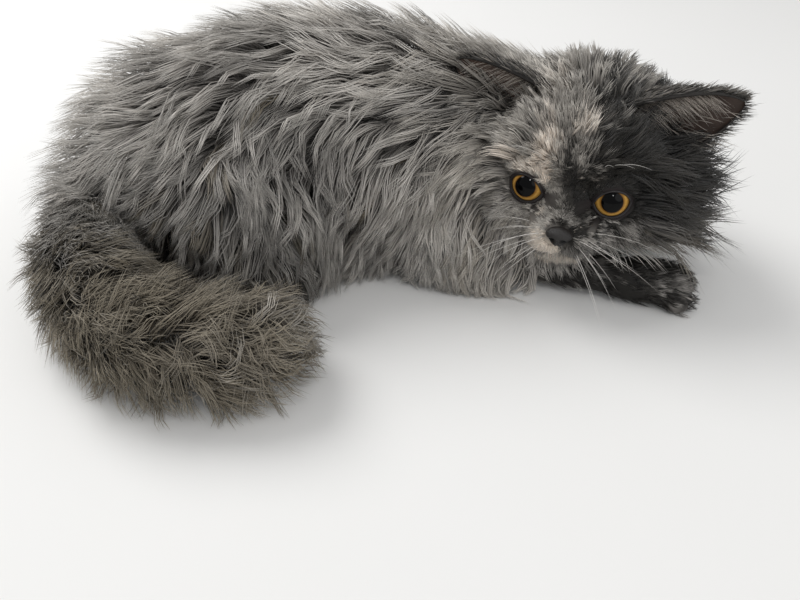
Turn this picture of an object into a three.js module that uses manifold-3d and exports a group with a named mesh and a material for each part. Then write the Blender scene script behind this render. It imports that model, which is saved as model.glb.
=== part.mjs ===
// A Persian cat that lies on its chest with its head turned to its right and its tail curled forward,
// at life size. Lengths are in millimetres. +X runs from the rump to the shoulders, +Y to the cat's
// left side and +Z up, and the cat lies on Z = 0.
import * as THREE from "three";
import { mergeVertices } from "three/addons/utils/BufferGeometryUtils.js";
import Module from "manifold-3d";

const wasm = await Module();
wasm.setup();

// Clearance between nodes, the share of the coat's depth that is solid under its locks, and how far
// what lies on the floor is pressed against it
const GAP = 0.3;
const CORE = 0.45;
const PRESS = 1;

// Head: its place, where it looks, and the eyes
const HEAD_AT = [101, 23, 72];
const HEAD_HEADING = -110;
const HEAD_DROP = 4;
const EYE_R = 10.5;
const EYE_AT = [27, 21.5, -2];
const EYE_OUT = 14;
const EYE_UP = 8;
const EYE_WIDTH = 18;
const EYE_HEIGHT = 15;
const LID = 1.6;

// Nose leather, nostrils and the line of the mouth, in the head's own frame
const NOSE_AT = [50, 0, -17];
const NOSE_SIZE = [4.6, 6.6, 5.4];
const NOSTRIL_AT = [54, 2.9, -18];
const NOSTRIL_R = 1.3;
const LIP_LINE = [[50, 0, -29], [46, 7, -32], [38, 15, -31], [30, 20, -28]];
const PHILTRUM = [[52, 0, -23], [50, 0, -29.5]];
const LIP_R = 0.9;

// Ears: a cup from its base to its tip, in the head's own frame
const EAR_BASE = [-2, 30, 24];
const EAR_TIP = [-4, 75, 47];
const EAR_FACING = [1, 0.25, -0.3];
const EAR_WIDTH = 40;
const EAR_DEPTH = 15;
const EAR_WALL = 2.6;
const EAR_CUP_FROM = 9;
const EAR_CUP_FORWARD = 6;

// Limbs of flesh. Each station is x, y, z and the radius there. The coat is how far the hair stands
// over the flesh, the lie is how much the hair follows the limb's line and how much it falls, and a
// limb that lies on the floor has its coat pressed down to it.
const LIMBS = {
  torso: {
    stations: [
      [64, 66, 54, 36],
      [36, 66, 58, 44],
      [-15, 70, 64, 52],
      [-68, 66, 66, 52],
      [-108, 54, 58, 48],
      [-132, 46, 50, 38],
    ],
    coat: 25,
    lie: [1, 0.45],
    sides: 13,
    lies: true,
  },
  neck: {
    stations: [
      [50, 62, 58, 38],
      [76, 56, 64, 34],
      [96, 42, 68, 30],
    ],
    coat: 20,
    lie: [-1, 0.7],
    sides: 12,
  },
  breast: {
    stations: [
      [20, 38, 36, 26],
      [56, 24, 34, 26],
      [92, 18, 30, 20],
    ],
    coat: 14,
    lie: [-0.6, 1],
    sides: 10,
    lies: true,
  },
  tail: {
    stations: [
      [-146, 58, 48, 14],
      [-168, 30, 40, 12],
      [-170, -16, 32, 12],
      [-152, -54, 30, 12],
      [-120, -76, 29, 11],
      [-88, -79, 28, 10],
      [-70, -76, 28, 8],
    ],
    coat: 20,
    lie: [1, 0.15],
    sides: 9,
    lies: true,
  },
  thigh_right: {
    stations: [
      [-116, 26, 56, 32],
      [-98, 14, 50, 32],
      [-78, 10, 38, 26],
    ],
    coat: 17,
    lie: [-0.4, 1],
    sides: 10,
  },
  thigh_left: {
    stations: [
      [-116, 80, 54, 32],
      [-98, 96, 48, 32],
      [-78, 106, 38, 26],
    ],
    coat: 17,
    lie: [-0.4, 1],
    sides: 10,
  },
  foreleg_right: {
    stations: [
      [24, 22, 24, 17],
      [54, 15, 18, 14],
      [88, 5, 14, 12],
      [122, -6, 13, 11],
    ],
    coat: 4,
    lie: [1, 0],
    sides: 8,
  },
  foreleg_left: {
    stations: [
      [42, 106, 24, 17],
      [66, 101, 18, 14],
      [94, 92, 14, 12],
      [124, 82, 13, 11],
    ],
    coat: 4,
    lie: [1, 0],
    sides: 8,
  },
  hindleg_right: {
    stations: [
      [-80, 6, 24, 17],
      [-118, 6, 16, 13],
    ],
    coat: 4,
    lie: [1, 0],
    sides: 8,
  },
  hindleg_left: {
    stations: [
      [-80, 114, 24, 17],
      [-118, 112, 16, 13],
    ],
    coat: 4,
    lie: [1, 0],
    sides: 8,
  },
};

// Paws, from the wrist or ankle to the ball of the foot
const PAWS = {
  forepaw_right: [[131, -9, 11, 12], [153, -14, 12, 13]],
  forepaw_left: [[133, 79, 11, 12], [155, 73, 12, 13]],
  hindpaw_right: [[-100, 4, 10, 11], [-64, 2, 11, 12]],
  hindpaw_left: [[-96, 126, 10, 11], [-56, 126, 11, 12]],
};

// Locks on the limbs, in staggered rows along the line and around it. The arc is in degrees from the
// top of the limb, and the size is a lock's length, width and thickness.
const LIMB_LOCKS = [
  { on: "torso", rows: 5, across: 7, from: 0.1, to: 0.98, arc: 115, size: [76, 39, 9] },
  { on: "neck", rows: 2, across: 5, from: 0.3, to: 0.9, arc: 95, size: [56, 32, 9] },
  { on: "breast", rows: 2, across: 3, from: 0.05, to: 0.65, arc: 90, size: [44, 28, 8] },
  { on: "thigh_right", rows: 2, across: 3, from: 0.15, to: 0.85, arc: 70, size: [52, 32, 8] },
  { on: "thigh_left", rows: 2, across: 3, from: 0.15, to: 0.85, arc: 70, size: [52, 32, 8] },
  { on: "tail", rows: 7, across: 4, from: 0.05, to: 0.9, arc: 105, size: [58, 25, 8] },
];

// Locks on the head, by how far round from the nose and how far up they grow, in degrees, and by how
// far they stand out.
const HEAD_LOCKS = [
  { round: 76, up: [-48, -20, 6], reach: 26, size: [50, 34, 7] },
  { round: 104, up: [-52, -22, 10], reach: 32, size: [56, 38, 8] },
  { round: 136, up: [-40, -8, 24], reach: 26, size: [54, 36, 8] },
  { round: 50, up: [72], reach: 8, size: [34, 24, 6] },
];
const RIND = 3;
const LOCK_SINK = 7;
const LOCK_RISE = 1.7;
const CHEEK_RISE = 2.2;
const LOCK_STEPS = 4;
const LOCK_SWAY = 0.35;
const LOCK_TURN = 0.5;
const FLOOR_MARGIN = 6;
const FLOOR_CLEAR = 1.2;

const vec = (a) => new THREE.Vector3(...a);
const radians = THREE.MathUtils.degToRad;
const { clamp, lerp, smoothstep } = THREE.MathUtils;
const UP = new THREE.Vector3(0, 0, 1);

// A closed geometry as a solid that can be joined and cut.
function solid(geometry, merge = 1e-4) {
  const plain = geometry.clone();
  plain.deleteAttribute("normal");
  plain.deleteAttribute("uv");
  const merged = mergeVertices(plain, merge);
  return new wasm.Manifold(
    new wasm.Mesh({
      numProp: 3,
      vertProperties: new Float32Array(merged.attributes.position.array),
      triVerts: new Uint32Array(merged.index.array),
    }),
  );
}

// Moves every vertex of a geometry to the place that a function gives for it.
function reshape(geometry, place) {
  const position = geometry.attributes.position;
  const p = new THREE.Vector3();
  for (let i = 0; i < position.count; i++) {
    p.fromBufferAttribute(position, i);
    const q = place(p);
    position.setXYZ(i, q.x, q.y, q.z);
  }
  return geometry;
}

const join = (solids) => wasm.Manifold.union(solids);

function geometryOf(s) {
  const { vertProperties, triVerts } = s.getMesh();
  const geometry = new THREE.BufferGeometry();
  geometry.setAttribute("position", new THREE.BufferAttribute(vertProperties, 3));
  return geometry.setIndex(new THREE.BufferAttribute(triVerts, 1));
}

// The largest closed surface of a solid. It is taken twice, because surfaces that meet at a single
// point only come apart once their vertices are merged.
const MERGE = 1e-3;
function largest(s) {
  const biggest = (whole) => whole.decompose().reduce((a, b) => (a.volume() > b.volume() ? a : b));
  return biggest(solid(geometryOf(biggest(s)), MERGE));
}

// The middle of an edge along which a solid only touches itself, if there is one.
function touchingPoint(s) {
  const { vertProperties, triVerts } = s.getMesh();
  const name = (i) => [...vertProperties.slice(3 * i, 3 * i + 3)].map((c) => c.toFixed(4)).join();
  const uses = new Map();
  triVerts.forEach((from, i) => {
    const to = triVerts[i % 3 === 2 ? i - 2 : i + 1];
    const edge = [name(from), name(to)].sort().join("/");
    uses.set(edge, (uses.get(edge) ?? 0) + 1);
  });
  const shared = [...uses.keys()].find((edge) => uses.get(edge) > 2);
  if (!shared) return null;
  const [from, to] = shared.split("/").map((end) => vec(end.split(",").map(Number)));
  return from.add(to).divideScalar(2);
}

function block(low, high) {
  const geometry = new THREE.BoxGeometry(high[0] - low[0], high[1] - low[1], high[2] - low[2]);
  geometry.translate((low[0] + high[0]) / 2, (low[1] + high[1]) / 2, (low[2] + high[2]) / 2);
  return solid(geometry);
}

function ball(at, radii, sides) {
  const geometry = new THREE.SphereGeometry(1, sides, sides / 2 + 1);
  geometry.scale(...radii);
  geometry.translate(...at);
  return solid(geometry);
}

// The middle line of a limb, with its radius and the directions across it, at t from 0 to 1.
function lineOf(stations) {
  const centre = new THREE.CatmullRomCurve3(stations.map((s) => vec(s.slice(0, 3))));
  const radius = new THREE.CatmullRomCurve3(stations.map((s) => new THREE.Vector3(s[3], 0, 0)));
  return (t) => {
    const along = centre.getTangent(t);
    const side = new THREE.Vector3().crossVectors(UP, along).normalize();
    const top = new THREE.Vector3().crossVectors(along, side);
    return { at: centre.getPoint(t), r: radius.getPoint(t).x, along, side, top };
  };
}

// A limb is a capsule bent along its line, with its radius made larger by grow. Where it lies on the
// floor, its lower half is drawn out to reach just past the floor.
function limb(stations, grow, { sides = 8, rows = Math.ceil(1.5 * stations.length), lies = false } = {}) {
  const geometry = new THREE.CapsuleGeometry(1, 2, 2, sides, rows);
  const line = lineOf(stations);
  return solid(
    reshape(geometry, (p) => {
      const { at, r, along, side, top } = line(clamp(p.y / 2 + 0.5, 0, 1));
      const height = at.z;
      const beyond = Math.abs(p.y) > 1 ? p.y - Math.sign(p.y) : 0;
      const q = at
        .addScaledVector(along, beyond * (r + grow))
        .addScaledVector(top, p.x * (r + grow))
        .addScaledVector(side, p.z * (r + grow));
      const drop = (height + PRESS) / (r + grow);
      if (lies && q.z < height && drop > 1) q.z = height + (q.z - height) * drop;
      return q;
    }),
  );
}

// The head's own frame: x to the nose, y to the cat's left, z to the crown.
const headFrame = new THREE.Matrix4()
  .makeTranslation(...HEAD_AT)
  .multiply(new THREE.Matrix4().makeRotationZ(radians(HEAD_HEADING)))
  .multiply(new THREE.Matrix4().makeRotationY(radians(HEAD_DROP)));
const intoHead = headFrame.clone().invert();
const inHead = (s) => s.transform(headFrame.elements);

// Ellipsoids that blend into the head: centre, radii, and whether there is one on each side.
const HEAD_FORMS = [
  { name: "cranium", at: [-8, 0, 8], r: [37, 42, 36] },
  { name: "forehead", at: [10, 0, 13], r: [24, 30, 22] },
  { name: "brow", at: [18, 19, 10], r: [17, 17, 15], pair: true },
  { name: "cheek", at: [14, 25, -15], r: [22, 18, 18], pair: true },
  { name: "bridge", at: [31, 0, -6], r: [14, 10, 11] },
  { name: "muzzle", at: [37, 8.5, -23], r: [13, 11, 10], pair: true },
  { name: "chin", at: [33, 0, -33], r: [11, 11, 8] },
  { name: "jaw", at: [8, 0, -26], r: [26, 28, 16] },
];
const HEAD_BLEND = 9;
const HEAD_HEART = new THREE.Vector3(8, 0, -6);
const HEAD_REACH = 120;

function ellipsoidDistance(p, at, r) {
  const [x, y, z] = [p.x - at[0], p.y - at[1], p.z - at[2]];
  const k0 = Math.hypot(x / r[0], y / r[1], z / r[2]);
  const k1 = Math.hypot(x / r[0] ** 2, y / r[1] ** 2, z / r[2] ** 2);
  return k1 === 0 ? -Math.min(...r) : (k0 * (k0 - 1)) / k1;
}

function smoothMin(a, b, k) {
  const h = Math.max(k - Math.abs(a - b), 0) / k;
  return Math.min(a, b) - (h * h * k) / 4;
}

function headDistance(p) {
  const folded = new THREE.Vector3(p.x, Math.abs(p.y), p.z);
  return HEAD_FORMS.reduce(
    (d, f) => smoothMin(d, ellipsoidDistance(f.pair ? folded : p, f.at, f.r), HEAD_BLEND),
    HEAD_REACH,
  );
}

// The point where a ray from the heart of the head leaves it.
function headSkin(direction, grow = 0) {
  let [near, far] = [0, HEAD_REACH];
  const p = new THREE.Vector3();
  for (let i = 0; i < 28; i++) {
    const middle = (near + far) / 2;
    p.copy(HEAD_HEART).addScaledVector(direction, middle);
    if (headDistance(p) < grow) near = middle;
    else far = middle;
  }
  return p;
}

function headCore(grow) {
  const geometry = new THREE.SphereGeometry(1, 22, 15);
  geometry.rotateZ(-Math.PI / 2);
  return solid(reshape(geometry, (p) => headSkin(p.clone().normalize(), grow)));
}

// The dense part of the fur behind the cheeks.
const CHEEK_CORE = { at: [-8, 32, -14], r: [18, 21, 25] };
function cheekFur(grow) {
  const radii = CHEEK_CORE.r.map((r) => r + grow);
  const [x, y, z] = CHEEK_CORE.at;
  return join([ball([x, y, z], radii, 12), ball([x, -y, z], radii, 12)]);
}

// The eye looks outwards and up from straight ahead.
const eyeFrame = (side) =>
  new THREE.Matrix4()
    .makeTranslation(EYE_AT[0], side * EYE_AT[1], EYE_AT[2])
    .multiply(new THREE.Matrix4().makeRotationZ(radians(side * EYE_OUT)))
    .multiply(new THREE.Matrix4().makeRotationY(radians(-EYE_UP)));

function eyeBall(side, grow) {
  const r = EYE_R + grow;
  return ball([0, 0, 0], [r, r, r], 11).transform(eyeFrame(side).elements);
}

// The opening between the lids, cut forwards from the eyeball's middle, with a corner at each end.
function eyeOpening(side) {
  const [w, h] = [(side * EYE_WIDTH) / 2, EYE_HEIGHT / 2];
  const outline = new THREE.Shape();
  outline.moveTo(-w, -1);
  outline.bezierCurveTo(-w * 0.7, h * 1.15, w * 0.6, h * 1.2, w, 0.5);
  outline.bezierCurveTo(w * 0.7, -h * 1.3, -w * 0.6, -h * 1.3, -w, -1);
  const depth = 2 * EYE_R;
  const geometry = new THREE.ExtrudeGeometry(outline, { depth, bevelEnabled: false, curveSegments: 5 });
  const forwards = new THREE.Matrix4().makeBasis(vec([0, 1, 0]), vec([0, 0, 1]), vec([1, 0, 0]));
  geometry.applyMatrix4(forwards);
  return solid(geometry).transform(eyeFrame(side).elements);
}

// Nose leather: a rounded wedge, wide above and narrow below.
function noseLeather(grow) {
  const geometry = new THREE.SphereGeometry(1, 10, 7);
  return solid(
    reshape(geometry, (p) => {
      const wide = lerp(0.5, 1.1, (p.z + 1) / 2);
      return new THREE.Vector3(
        NOSE_AT[0] + p.x * (NOSE_SIZE[0] + grow),
        NOSE_AT[1] + p.y * (NOSE_SIZE[1] + grow) * wide,
        NOSE_AT[2] + p.z * (NOSE_SIZE[2] + grow),
      );
    }),
  );
}

function nostrils() {
  const [x, y, z] = NOSTRIL_AT;
  const radii = [2 * NOSTRIL_R, 1.25 * NOSTRIL_R, 0.8 * NOSTRIL_R];
  return join([ball([x, y, z], radii, 6), ball([x, -y, z], radii, 6)]);
}

// A groove in the head's skin, below points given in the head's own frame.
function groove(points) {
  const stations = points.map((p) => {
    const aim = vec(p).sub(HEAD_HEART).normalize();
    return [...headSkin(aim).toArray(), LIP_R];
  });
  return limb(stations, 0, { sides: 4, rows: stations.length });
}

function mouthLine() {
  const lip = (side) => groove(LIP_LINE.map(([x, y, z]) => [x, side * y, z]));
  return join([lip(1), lip(-1), groove(PHILTRUM)]);
}

// The form of an ear is a ball drawn out to a tip. Its cup is the same form, thinner and further forward.
function earForm(side, { thinner = 0, forward = 0, from = 0 }) {
  const [base, tip, face] = [EAR_BASE, EAR_TIP, EAR_FACING].map(([x, y, z]) => vec([x, side * y, z]));
  const along = tip.sub(base);
  const long = along.length();
  along.normalize();
  face.addScaledVector(along, -face.dot(along)).normalize();
  const across = new THREE.Vector3().crossVectors(along, face);
  const geometry = new THREE.SphereGeometry(1, 12, 7);
  return solid(
    reshape(geometry, (p) => {
      const t = (p.y + 1) / 2;
      const taper = Math.sqrt(Math.max(1 - t ** 2.2, 0)) / Math.max(Math.sqrt(1 - p.y * p.y), 1e-3);
      const round = Math.min(taper, 1.6);
      return base
        .clone()
        .addScaledVector(along, from + t * (long - from - thinner))
        .addScaledVector(across, p.x * round * (EAR_WIDTH / 2 - thinner))
        .addScaledVector(face, forward + p.z * round * (EAR_DEPTH / 2 - thinner * 0.5));
    }),
  );
}

function ear(side) {
  const cup = earForm(side, { thinner: EAR_WALL, forward: EAR_CUP_FORWARD, from: EAR_CUP_FROM });
  return earForm(side, {}).subtract(cup);
}

// A paw: its limb with four toes at the end.
function paw([wrist, end], grow) {
  const heel = vec(wrist.slice(0, 3));
  const front = vec(end.slice(0, 3));
  const ahead = front.clone().sub(heel).normalize();
  const aside = new THREE.Vector3(-ahead.y, ahead.x, 0);
  const toeR = end[3] * 0.42 + grow;
  const toes = [-1.5, -0.5, 0.5, 1.5].map((k) => {
    const at = front
      .clone()
      .addScaledVector(ahead, end[3] * (0.75 - 0.09 * k * k))
      .addScaledVector(aside, k * end[3] * 0.47);
    return ball([at.x, at.y, end[3] * 0.4], [1.3 * toeR, toeR, toeR], 5);
  });
  return join([limb([wrist, end], grow, { rows: 1 }), ...toes]);
}

// How far a point is from the flesh of each limb, the hair's depth there and the way it lies.
const nearLimbs = Object.values(LIMBS).map(({ stations, coat, lie }) => {
  const line = lineOf(stations);
  const steps = 4 * stations.length;
  const samples = Array.from({ length: steps + 1 }, (_, i) => line(i / steps));
  return (p) => {
    let [best, nearest] = [Infinity, null];
    for (let i = 0; i < steps; i++) {
      const [a, b] = [samples[i], samples[i + 1]];
      const ab = b.at.clone().sub(a.at);
      const t = clamp(p.clone().sub(a.at).dot(ab) / ab.lengthSq(), 0, 1);
      const d = p.distanceTo(a.at.clone().addScaledVector(ab, t)) - lerp(a.r, b.r, t);
      if (d < best) [best, nearest] = [d, a];
    }
    const way = nearest.along.clone().multiplyScalar(lie[0]).addScaledVector(UP, -lie[1]);
    return { d: best, coat, way };
  };
});

// Hair on the head runs away from the nose, and falls a little.
const HEAD_COAT = 8;
const HEAD_FALL = 0.4;
function nearHead(p) {
  const q = p.clone().applyMatrix4(intoHead);
  const way = q.clone().sub(vec(NOSE_AT)).normalize().transformDirection(headFrame);
  return { d: headDistance(q), coat: HEAD_COAT, way: way.addScaledVector(UP, -HEAD_FALL) };
}

const FLESH_BLEND = 12;
const FAR_OFF = 1000;
const nearAll = (p) => [...nearLimbs.map((near) => near(p)), nearHead(p)];
const fleshDistance = (p) => nearAll(p).reduce((d, near) => smoothMin(d, near.d, FLESH_BLEND), FAR_OFF);

// Depth and lie of the coat, blended where limbs meet.
const COAT_BLEND = 20;
function coatAt(p) {
  const all = nearAll(p);
  const nearest = Math.min(...all.map((near) => near.d));
  const way = new THREE.Vector3();
  let [depth, total] = [0, 0];
  for (const near of all) {
    const weight = Math.max(1 - (near.d - nearest) / COAT_BLEND, 0) ** 2;
    depth += weight * near.coat;
    way.addScaledVector(near.way, weight);
    total += weight;
  }
  return { depth: depth / total, way };
}

function normalAt(p) {
  const step = 1.5;
  const slope = [0, 1, 2].map((axis) => {
    const [a, b] = [p.clone(), p.clone()];
    a.setComponent(axis, p.getComponent(axis) + step);
    b.setComponent(axis, p.getComponent(axis) - step);
    return fleshDistance(a) - fleshDistance(b);
  });
  return vec(slope).normalize();
}

// Random numbers that are the same in each run.
let seed = 12;
function random(low, high) {
  seed = (seed * 1664525 + 1013904223) % 4294967296;
  return low + ((high - low) * seed) / 4294967296;
}

// The line of a lock, from its root in the flesh to its tip at the coat's depth. It follows the flesh,
// but runs straight on where its way leads off the flesh, as at the end of the tail.
function lockLine(root, long, { reach, rise = LOCK_RISE } = {}) {
  const sway = random(-LOCK_SWAY, LOCK_SWAY);
  const lift = random(0.9, 1.08);
  const line = [];
  const p = root.clone();
  const normal = new THREE.Vector3();
  const onwards = new THREE.Vector3();
  for (let i = 0; i <= LOCK_STEPS; i++) {
    const v = i / LOCK_STEPS;
    const { depth, way } = coatAt(p);
    const steep = normalAt(p);
    const off = way.normalize().dot(steep);
    const loose = i === 0 ? 0 : smoothstep(off, 0.3, 0.8);
    normal.lerp(steep, i === 0 ? 1 : LOCK_TURN * (1 - loose)).normalize();
    onwards.lerp(way, i === 0 ? 1 : LOCK_TURN);
    way.copy(onwards).addScaledVector(normal, -onwards.dot(normal)).normalize();
    const side = new THREE.Vector3().crossVectors(way, normal);
    way.addScaledVector(side, sway * v).normalize();
    const height = lerp(-LOCK_SINK, (reach ?? depth) * lift, 1 - (1 - v) ** rise);
    line.push({ at: p.clone().addScaledVector(normal, height), normal: normal.clone(), side });
    const atFloor = p.z < 2 * FLOOR_MARGIN && way.z < 0;
    if (atFloor) way.setZ(0).addScaledVector(normal.clone().setZ(0), 0.6).normalize();
    p.addScaledVector(way, long / LOCK_STEPS);
    if (!atFloor) p.addScaledVector(normalAt(p), -fleshDistance(p) * (1 - loose));
  }
  return line;
}

// A lock is a three-sided cone bent along its line, flat below and with a ridge above, and widest a
// third of the way out. It is lifted where it would pass through the floor. Each of its faces moves
// outwards by about the amount that it grows.
const SIDE_GROWTH = 7;
const RIDGE_GROWTH = 2;
function lock(line, [, wide, thick], grow) {
  const geometry = new THREE.ConeGeometry(1, 1, 3, LOCK_STEPS);
  const onwards = line[LOCK_STEPS].at.clone().sub(line[LOCK_STEPS - 1].at).normalize();
  return solid(
    reshape(geometry, (p) => {
      const v = clamp(p.y + 0.5, 0, 1);
      const { at, normal, side } = line[Math.round(v * LOCK_STEPS)];
      const tip = v > 0.999;
      const full = tip ? 0 : (1 - v) ** -0.2 * lerp(0.9, 2.6, v);
      const hangs = (Math.abs(side.z) * wide + Math.abs(normal.z) * thick) * (full / 2);
      const q = at.clone().setZ(Math.max(at.z, hangs + FLOOR_CLEAR));
      q.addScaledVector(side, (p.x * full * wide) / 2 / Math.cos(Math.PI / 6));
      q.addScaledVector(normal, (p.z * full * thick) / 2);
      q.addScaledVector(side, p.x * SIDE_GROWTH * grow);
      q.addScaledVector(normal, p.z * RIDGE_GROWTH * grow);
      return tip ? q.addScaledVector(onwards, SIDE_GROWTH * grow) : q;
    }),
  );
}

// The lines and sizes of the locks on the limbs.
function limbLocks({ on, rows, across, from, to, arc, size }) {
  const line = lineOf(LIMBS[on].stations);
  const made = [];
  for (let row = 0; row < rows; row++) {
    const { at, r, side, top } = line(lerp(from, to, row / (rows - 1)));
    for (let k = 0; k < across; k++) {
      const turn = radians(arc * ((2 * (k + (row % 2) / 2)) / (across - 0.5) - 1));
      const root = at.clone();
      root.addScaledVector(top, r * Math.cos(turn)).addScaledVector(side, r * Math.sin(turn));
      const long = size[0] * random(0.88, 1.12);
      const shows = fleshDistance(root) > -LOCK_SINK && root.z > FLOOR_MARGIN;
      if (shows) made.push({ line: lockLine(root, long), size });
    }
  }
  return made;
}

// The lines and sizes of the locks on both sides of the head.
function headLocks({ round, up, reach, size }) {
  return [1, -1].flatMap((side) =>
    up.map((rise) => {
      const [turn, lift] = [radians(side * round), radians(rise)];
      const level = Math.cos(lift);
      const aim = new THREE.Vector3(level * Math.cos(turn), level * Math.sin(turn), Math.sin(lift));
      const root = headSkin(aim).applyMatrix4(headFrame);
      const line = lockLine(root, size[0] * random(0.9, 1.1), { reach, rise: CHEEK_RISE });
      return { line, size };
    }),
  );
}

// Space above the floor, and the space before the face, which the neck's coat leaves free.
const ROOM = 900;
const aboveFloor = block([-ROOM, -ROOM, 0], [ROOM, ROOM, ROOM]);
const FACE_ROOM = { at: [44, 0, -6], r: [32, 38, 40] };
const faceRoom = (grow) => inHead(ball(FACE_ROOM.at, FACE_ROOM.r.map((r) => r - grow), 14));

// Each node's room, taken in this order, so that a later node gives way to the earlier ones.
const HEAD_ROOM = { at: [24, 0, -6], r: [62, 96, 80] };
const headRoom = (g) => inHead(ball(HEAD_ROOM.at, HEAD_ROOM.r.map((r) => r + g), 12));
const roomAround = (stations, reach) => (g) => limb(stations, reach + g, { rows: stations.length - 1 });
const roomAhead = (x) => (g) => block([x - g, -ROOM, -ROOM], [ROOM, ROOM, ROOM]);
const tailRoom = (from, to) => roomAround(LIMBS.tail.stations.slice(from, to), 26);
const ROOMS = {
  forepaw_right: roomAround(PAWS.forepaw_right, 9),
  foreleg_right: roomAround(LIMBS.foreleg_right.stations, 9),
  head: headRoom,
  forepaw_left: roomAround(PAWS.forepaw_left, 9),
  foreleg_left: roomAround(LIMBS.foreleg_left.stations, 9),
  tail_tip: tailRoom(4, 7),
  tail_middle: tailRoom(2, 5),
  tail_base: tailRoom(0, 3),
  hindpaw_right: roomAround(PAWS.hindpaw_right, 9),
  hindleg_right: roomAround(LIMBS.hindleg_right.stations, 9),
  thigh_right: roomAround(LIMBS.thigh_right.stations, 20),
  hindpaw_left: roomAround(PAWS.hindpaw_left, 9),
  hindleg_left: roomAround(LIMBS.hindleg_left.stations, 9),
  thigh_left: roomAround(LIMBS.thigh_left.stations, 20),
  neck: roomAround(LIMBS.neck.stations, 34),
  chest: roomAhead(-30),
  abdomen: roomAhead(-96),
  rump: roomAhead(-ROOM),
};

// The body without its locks, out to the top of the dense part of its coat. Short fur is all dense.
const SHORT = 4;
function bodyCore(grow) {
  const limbs = Object.values(LIMBS).map(({ stations, coat, sides, lies = false }) =>
    limb(stations, (coat > SHORT ? coat * CORE : coat) + grow, { sides, lies }),
  );
  const paws = Object.values(PAWS).map((stations) => paw(stations, grow));
  const head = inHead(join([headCore(grow), cheekFur(grow)]));
  return join([...limbs, ...paws]).subtract(faceRoom(grow)).add(head);
}

// What is cut away for the eyes, ears and nose.
function faceCuts() {
  const cuts = [noseLeather(GAP)];
  for (const side of [1, -1]) {
    cuts.push(eyeBall(side, GAP), eyeOpening(side), earForm(side, { thinner: -GAP }));
  }
  return inHead(join(cuts));
}

// The room that each node has once the earlier ones have taken theirs.
function shareRooms() {
  let free = aboveFloor;
  const rooms = {};
  for (const [name, room] of Object.entries(ROOMS)) {
    rooms[name] = free.intersect(room(0));
    free = free.subtract(room(GAP)).subtract(room(0));
  }
  return rooms;
}

// Where two nodes still touch, as where their locks cross at the floor, the later one gives way.
const NUDGE = GAP / 2;
const SLIVER = 0.002;
const TOUCH_R = 0.5;
const NUDGES = [-NUDGE, 0, NUDGE].flatMap((d) => [[d, 0, 0], [0, d, 0], [0, 0, d]]);
function giveWay(node, earlier) {
  const shared = node.intersect(earlier);
  if (shared.volume() < SLIVER) return node;
  return node.subtract(join(NUDGES.map((shift) => shared.translate(shift))));
}

function build() {
  const names = Object.keys(ROOMS);
  const lids = inHead(join([eyeBall(1, LID), eyeBall(-1, LID)]));
  const core = bodyCore(0).add(lids).subtract(inHead(mouthLine())).intersect(aboveFloor);
  const grownCore = bodyCore(GAP);
  const cuts = faceCuts();
  const rooms = shareRooms();
  const bases = Object.fromEntries(names.map((name) => [name, core.intersect(rooms[name])]));

  // Each lock belongs to the node whose core it comes out of.
  const rind = bodyCore(RIND).subtract(core);
  const rinds = names.map((name) => rind.intersect(rooms[name]));
  const locks = Object.fromEntries(names.map((name) => [name, []]));
  for (const { line, size } of [...LIMB_LOCKS.flatMap(limbLocks), ...HEAD_LOCKS.flatMap(headLocks)]) {
    const form = lock(line, size, 0);
    const shares = rinds.map((part) => form.intersect(part).volume());
    const owner = names[shares.indexOf(Math.max(...shares))];
    locks[owner].push({ form, grown: lock(line, size, GAP) });
  }

  const made = {
    nose: inHead(noseLeather(0).subtract(nostrils())),
    eye_left: inHead(eyeBall(1, 0)),
    eye_right: inHead(eyeBall(-1, 0)),
    ear_left: inHead(ear(1)),
    ear_right: inHead(ear(-1)),
  };

  // Outside its own room a lock stays clear of the core, and of the locks of earlier nodes.
  let taken = join([]);
  const nodeOf = (name, chosen) => {
    const others = grownCore.subtract(rooms[name]).add(taken);
    const forms = join(chosen.map((l) => l.form)).subtract(others);
    const node = chosen.length ? bases[name].add(forms) : bases[name];
    return largest(Object.values(made).reduce(giveWay, node.subtract(cuts)));
  };

  // A lock along which its node would only touch itself is left out.
  for (const name of names) {
    let chosen = locks[name];
    let node = nodeOf(name, chosen);
    for (let point = touchingPoint(node); point; point = touchingPoint(node)) {
      const near = ball(point.toArray(), [TOUCH_R, TOUCH_R, TOUCH_R], 6);
      const folded = chosen.findLast((l) => !l.form.intersect(near).isEmpty());
      if (!folded) break;
      chosen = chosen.filter((l) => l !== folded);
      node = nodeOf(name, chosen);
    }
    taken = taken.add(join(chosen.map((l) => l.grown)).subtract(core));
    made[name] = node;
  }
  return made;
}

// Colours, roughness and metalness
const material = (color, roughness) => new THREE.MeshStandardMaterial({ color, roughness, metalness: 0 });
const COLOURS = {
  head: material(0x5e5b58, 0.95),
  nose: material(0x2b2726, 0.5),
  eye: material(0xc08a35, 0.08),
  ear: material(0x3a3734, 0.95),
  tail: material(0x5d574f, 0.95),
  foreleg: material(0x34312d, 0.95),
  forepaw: material(0x34312d, 0.95),
  body: material(0x77736f, 0.95),
};
const colourOf = (name) => COLOURS[name.split("_")[0]] ?? COLOURS.body;

// The origin goes to the middle of the underside of the whole model's box.
const solids = build();
const box = new THREE.Box3();
for (const s of Object.values(solids)) {
  const { min, max } = s.boundingBox();
  box.union(new THREE.Box3(vec([...min]), vec([...max])));
}
const centre = box.getCenter(new THREE.Vector3());
const cat = new THREE.Group();
for (const [name, s] of Object.entries(solids)) {
  const mesh = new THREE.Mesh(geometryOf(s), colourOf(name));
  mesh.name = name;
  mesh.position.set(-centre.x, -centre.y, -box.min.z);
  cat.add(mesh);
}

export default cat;
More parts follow.
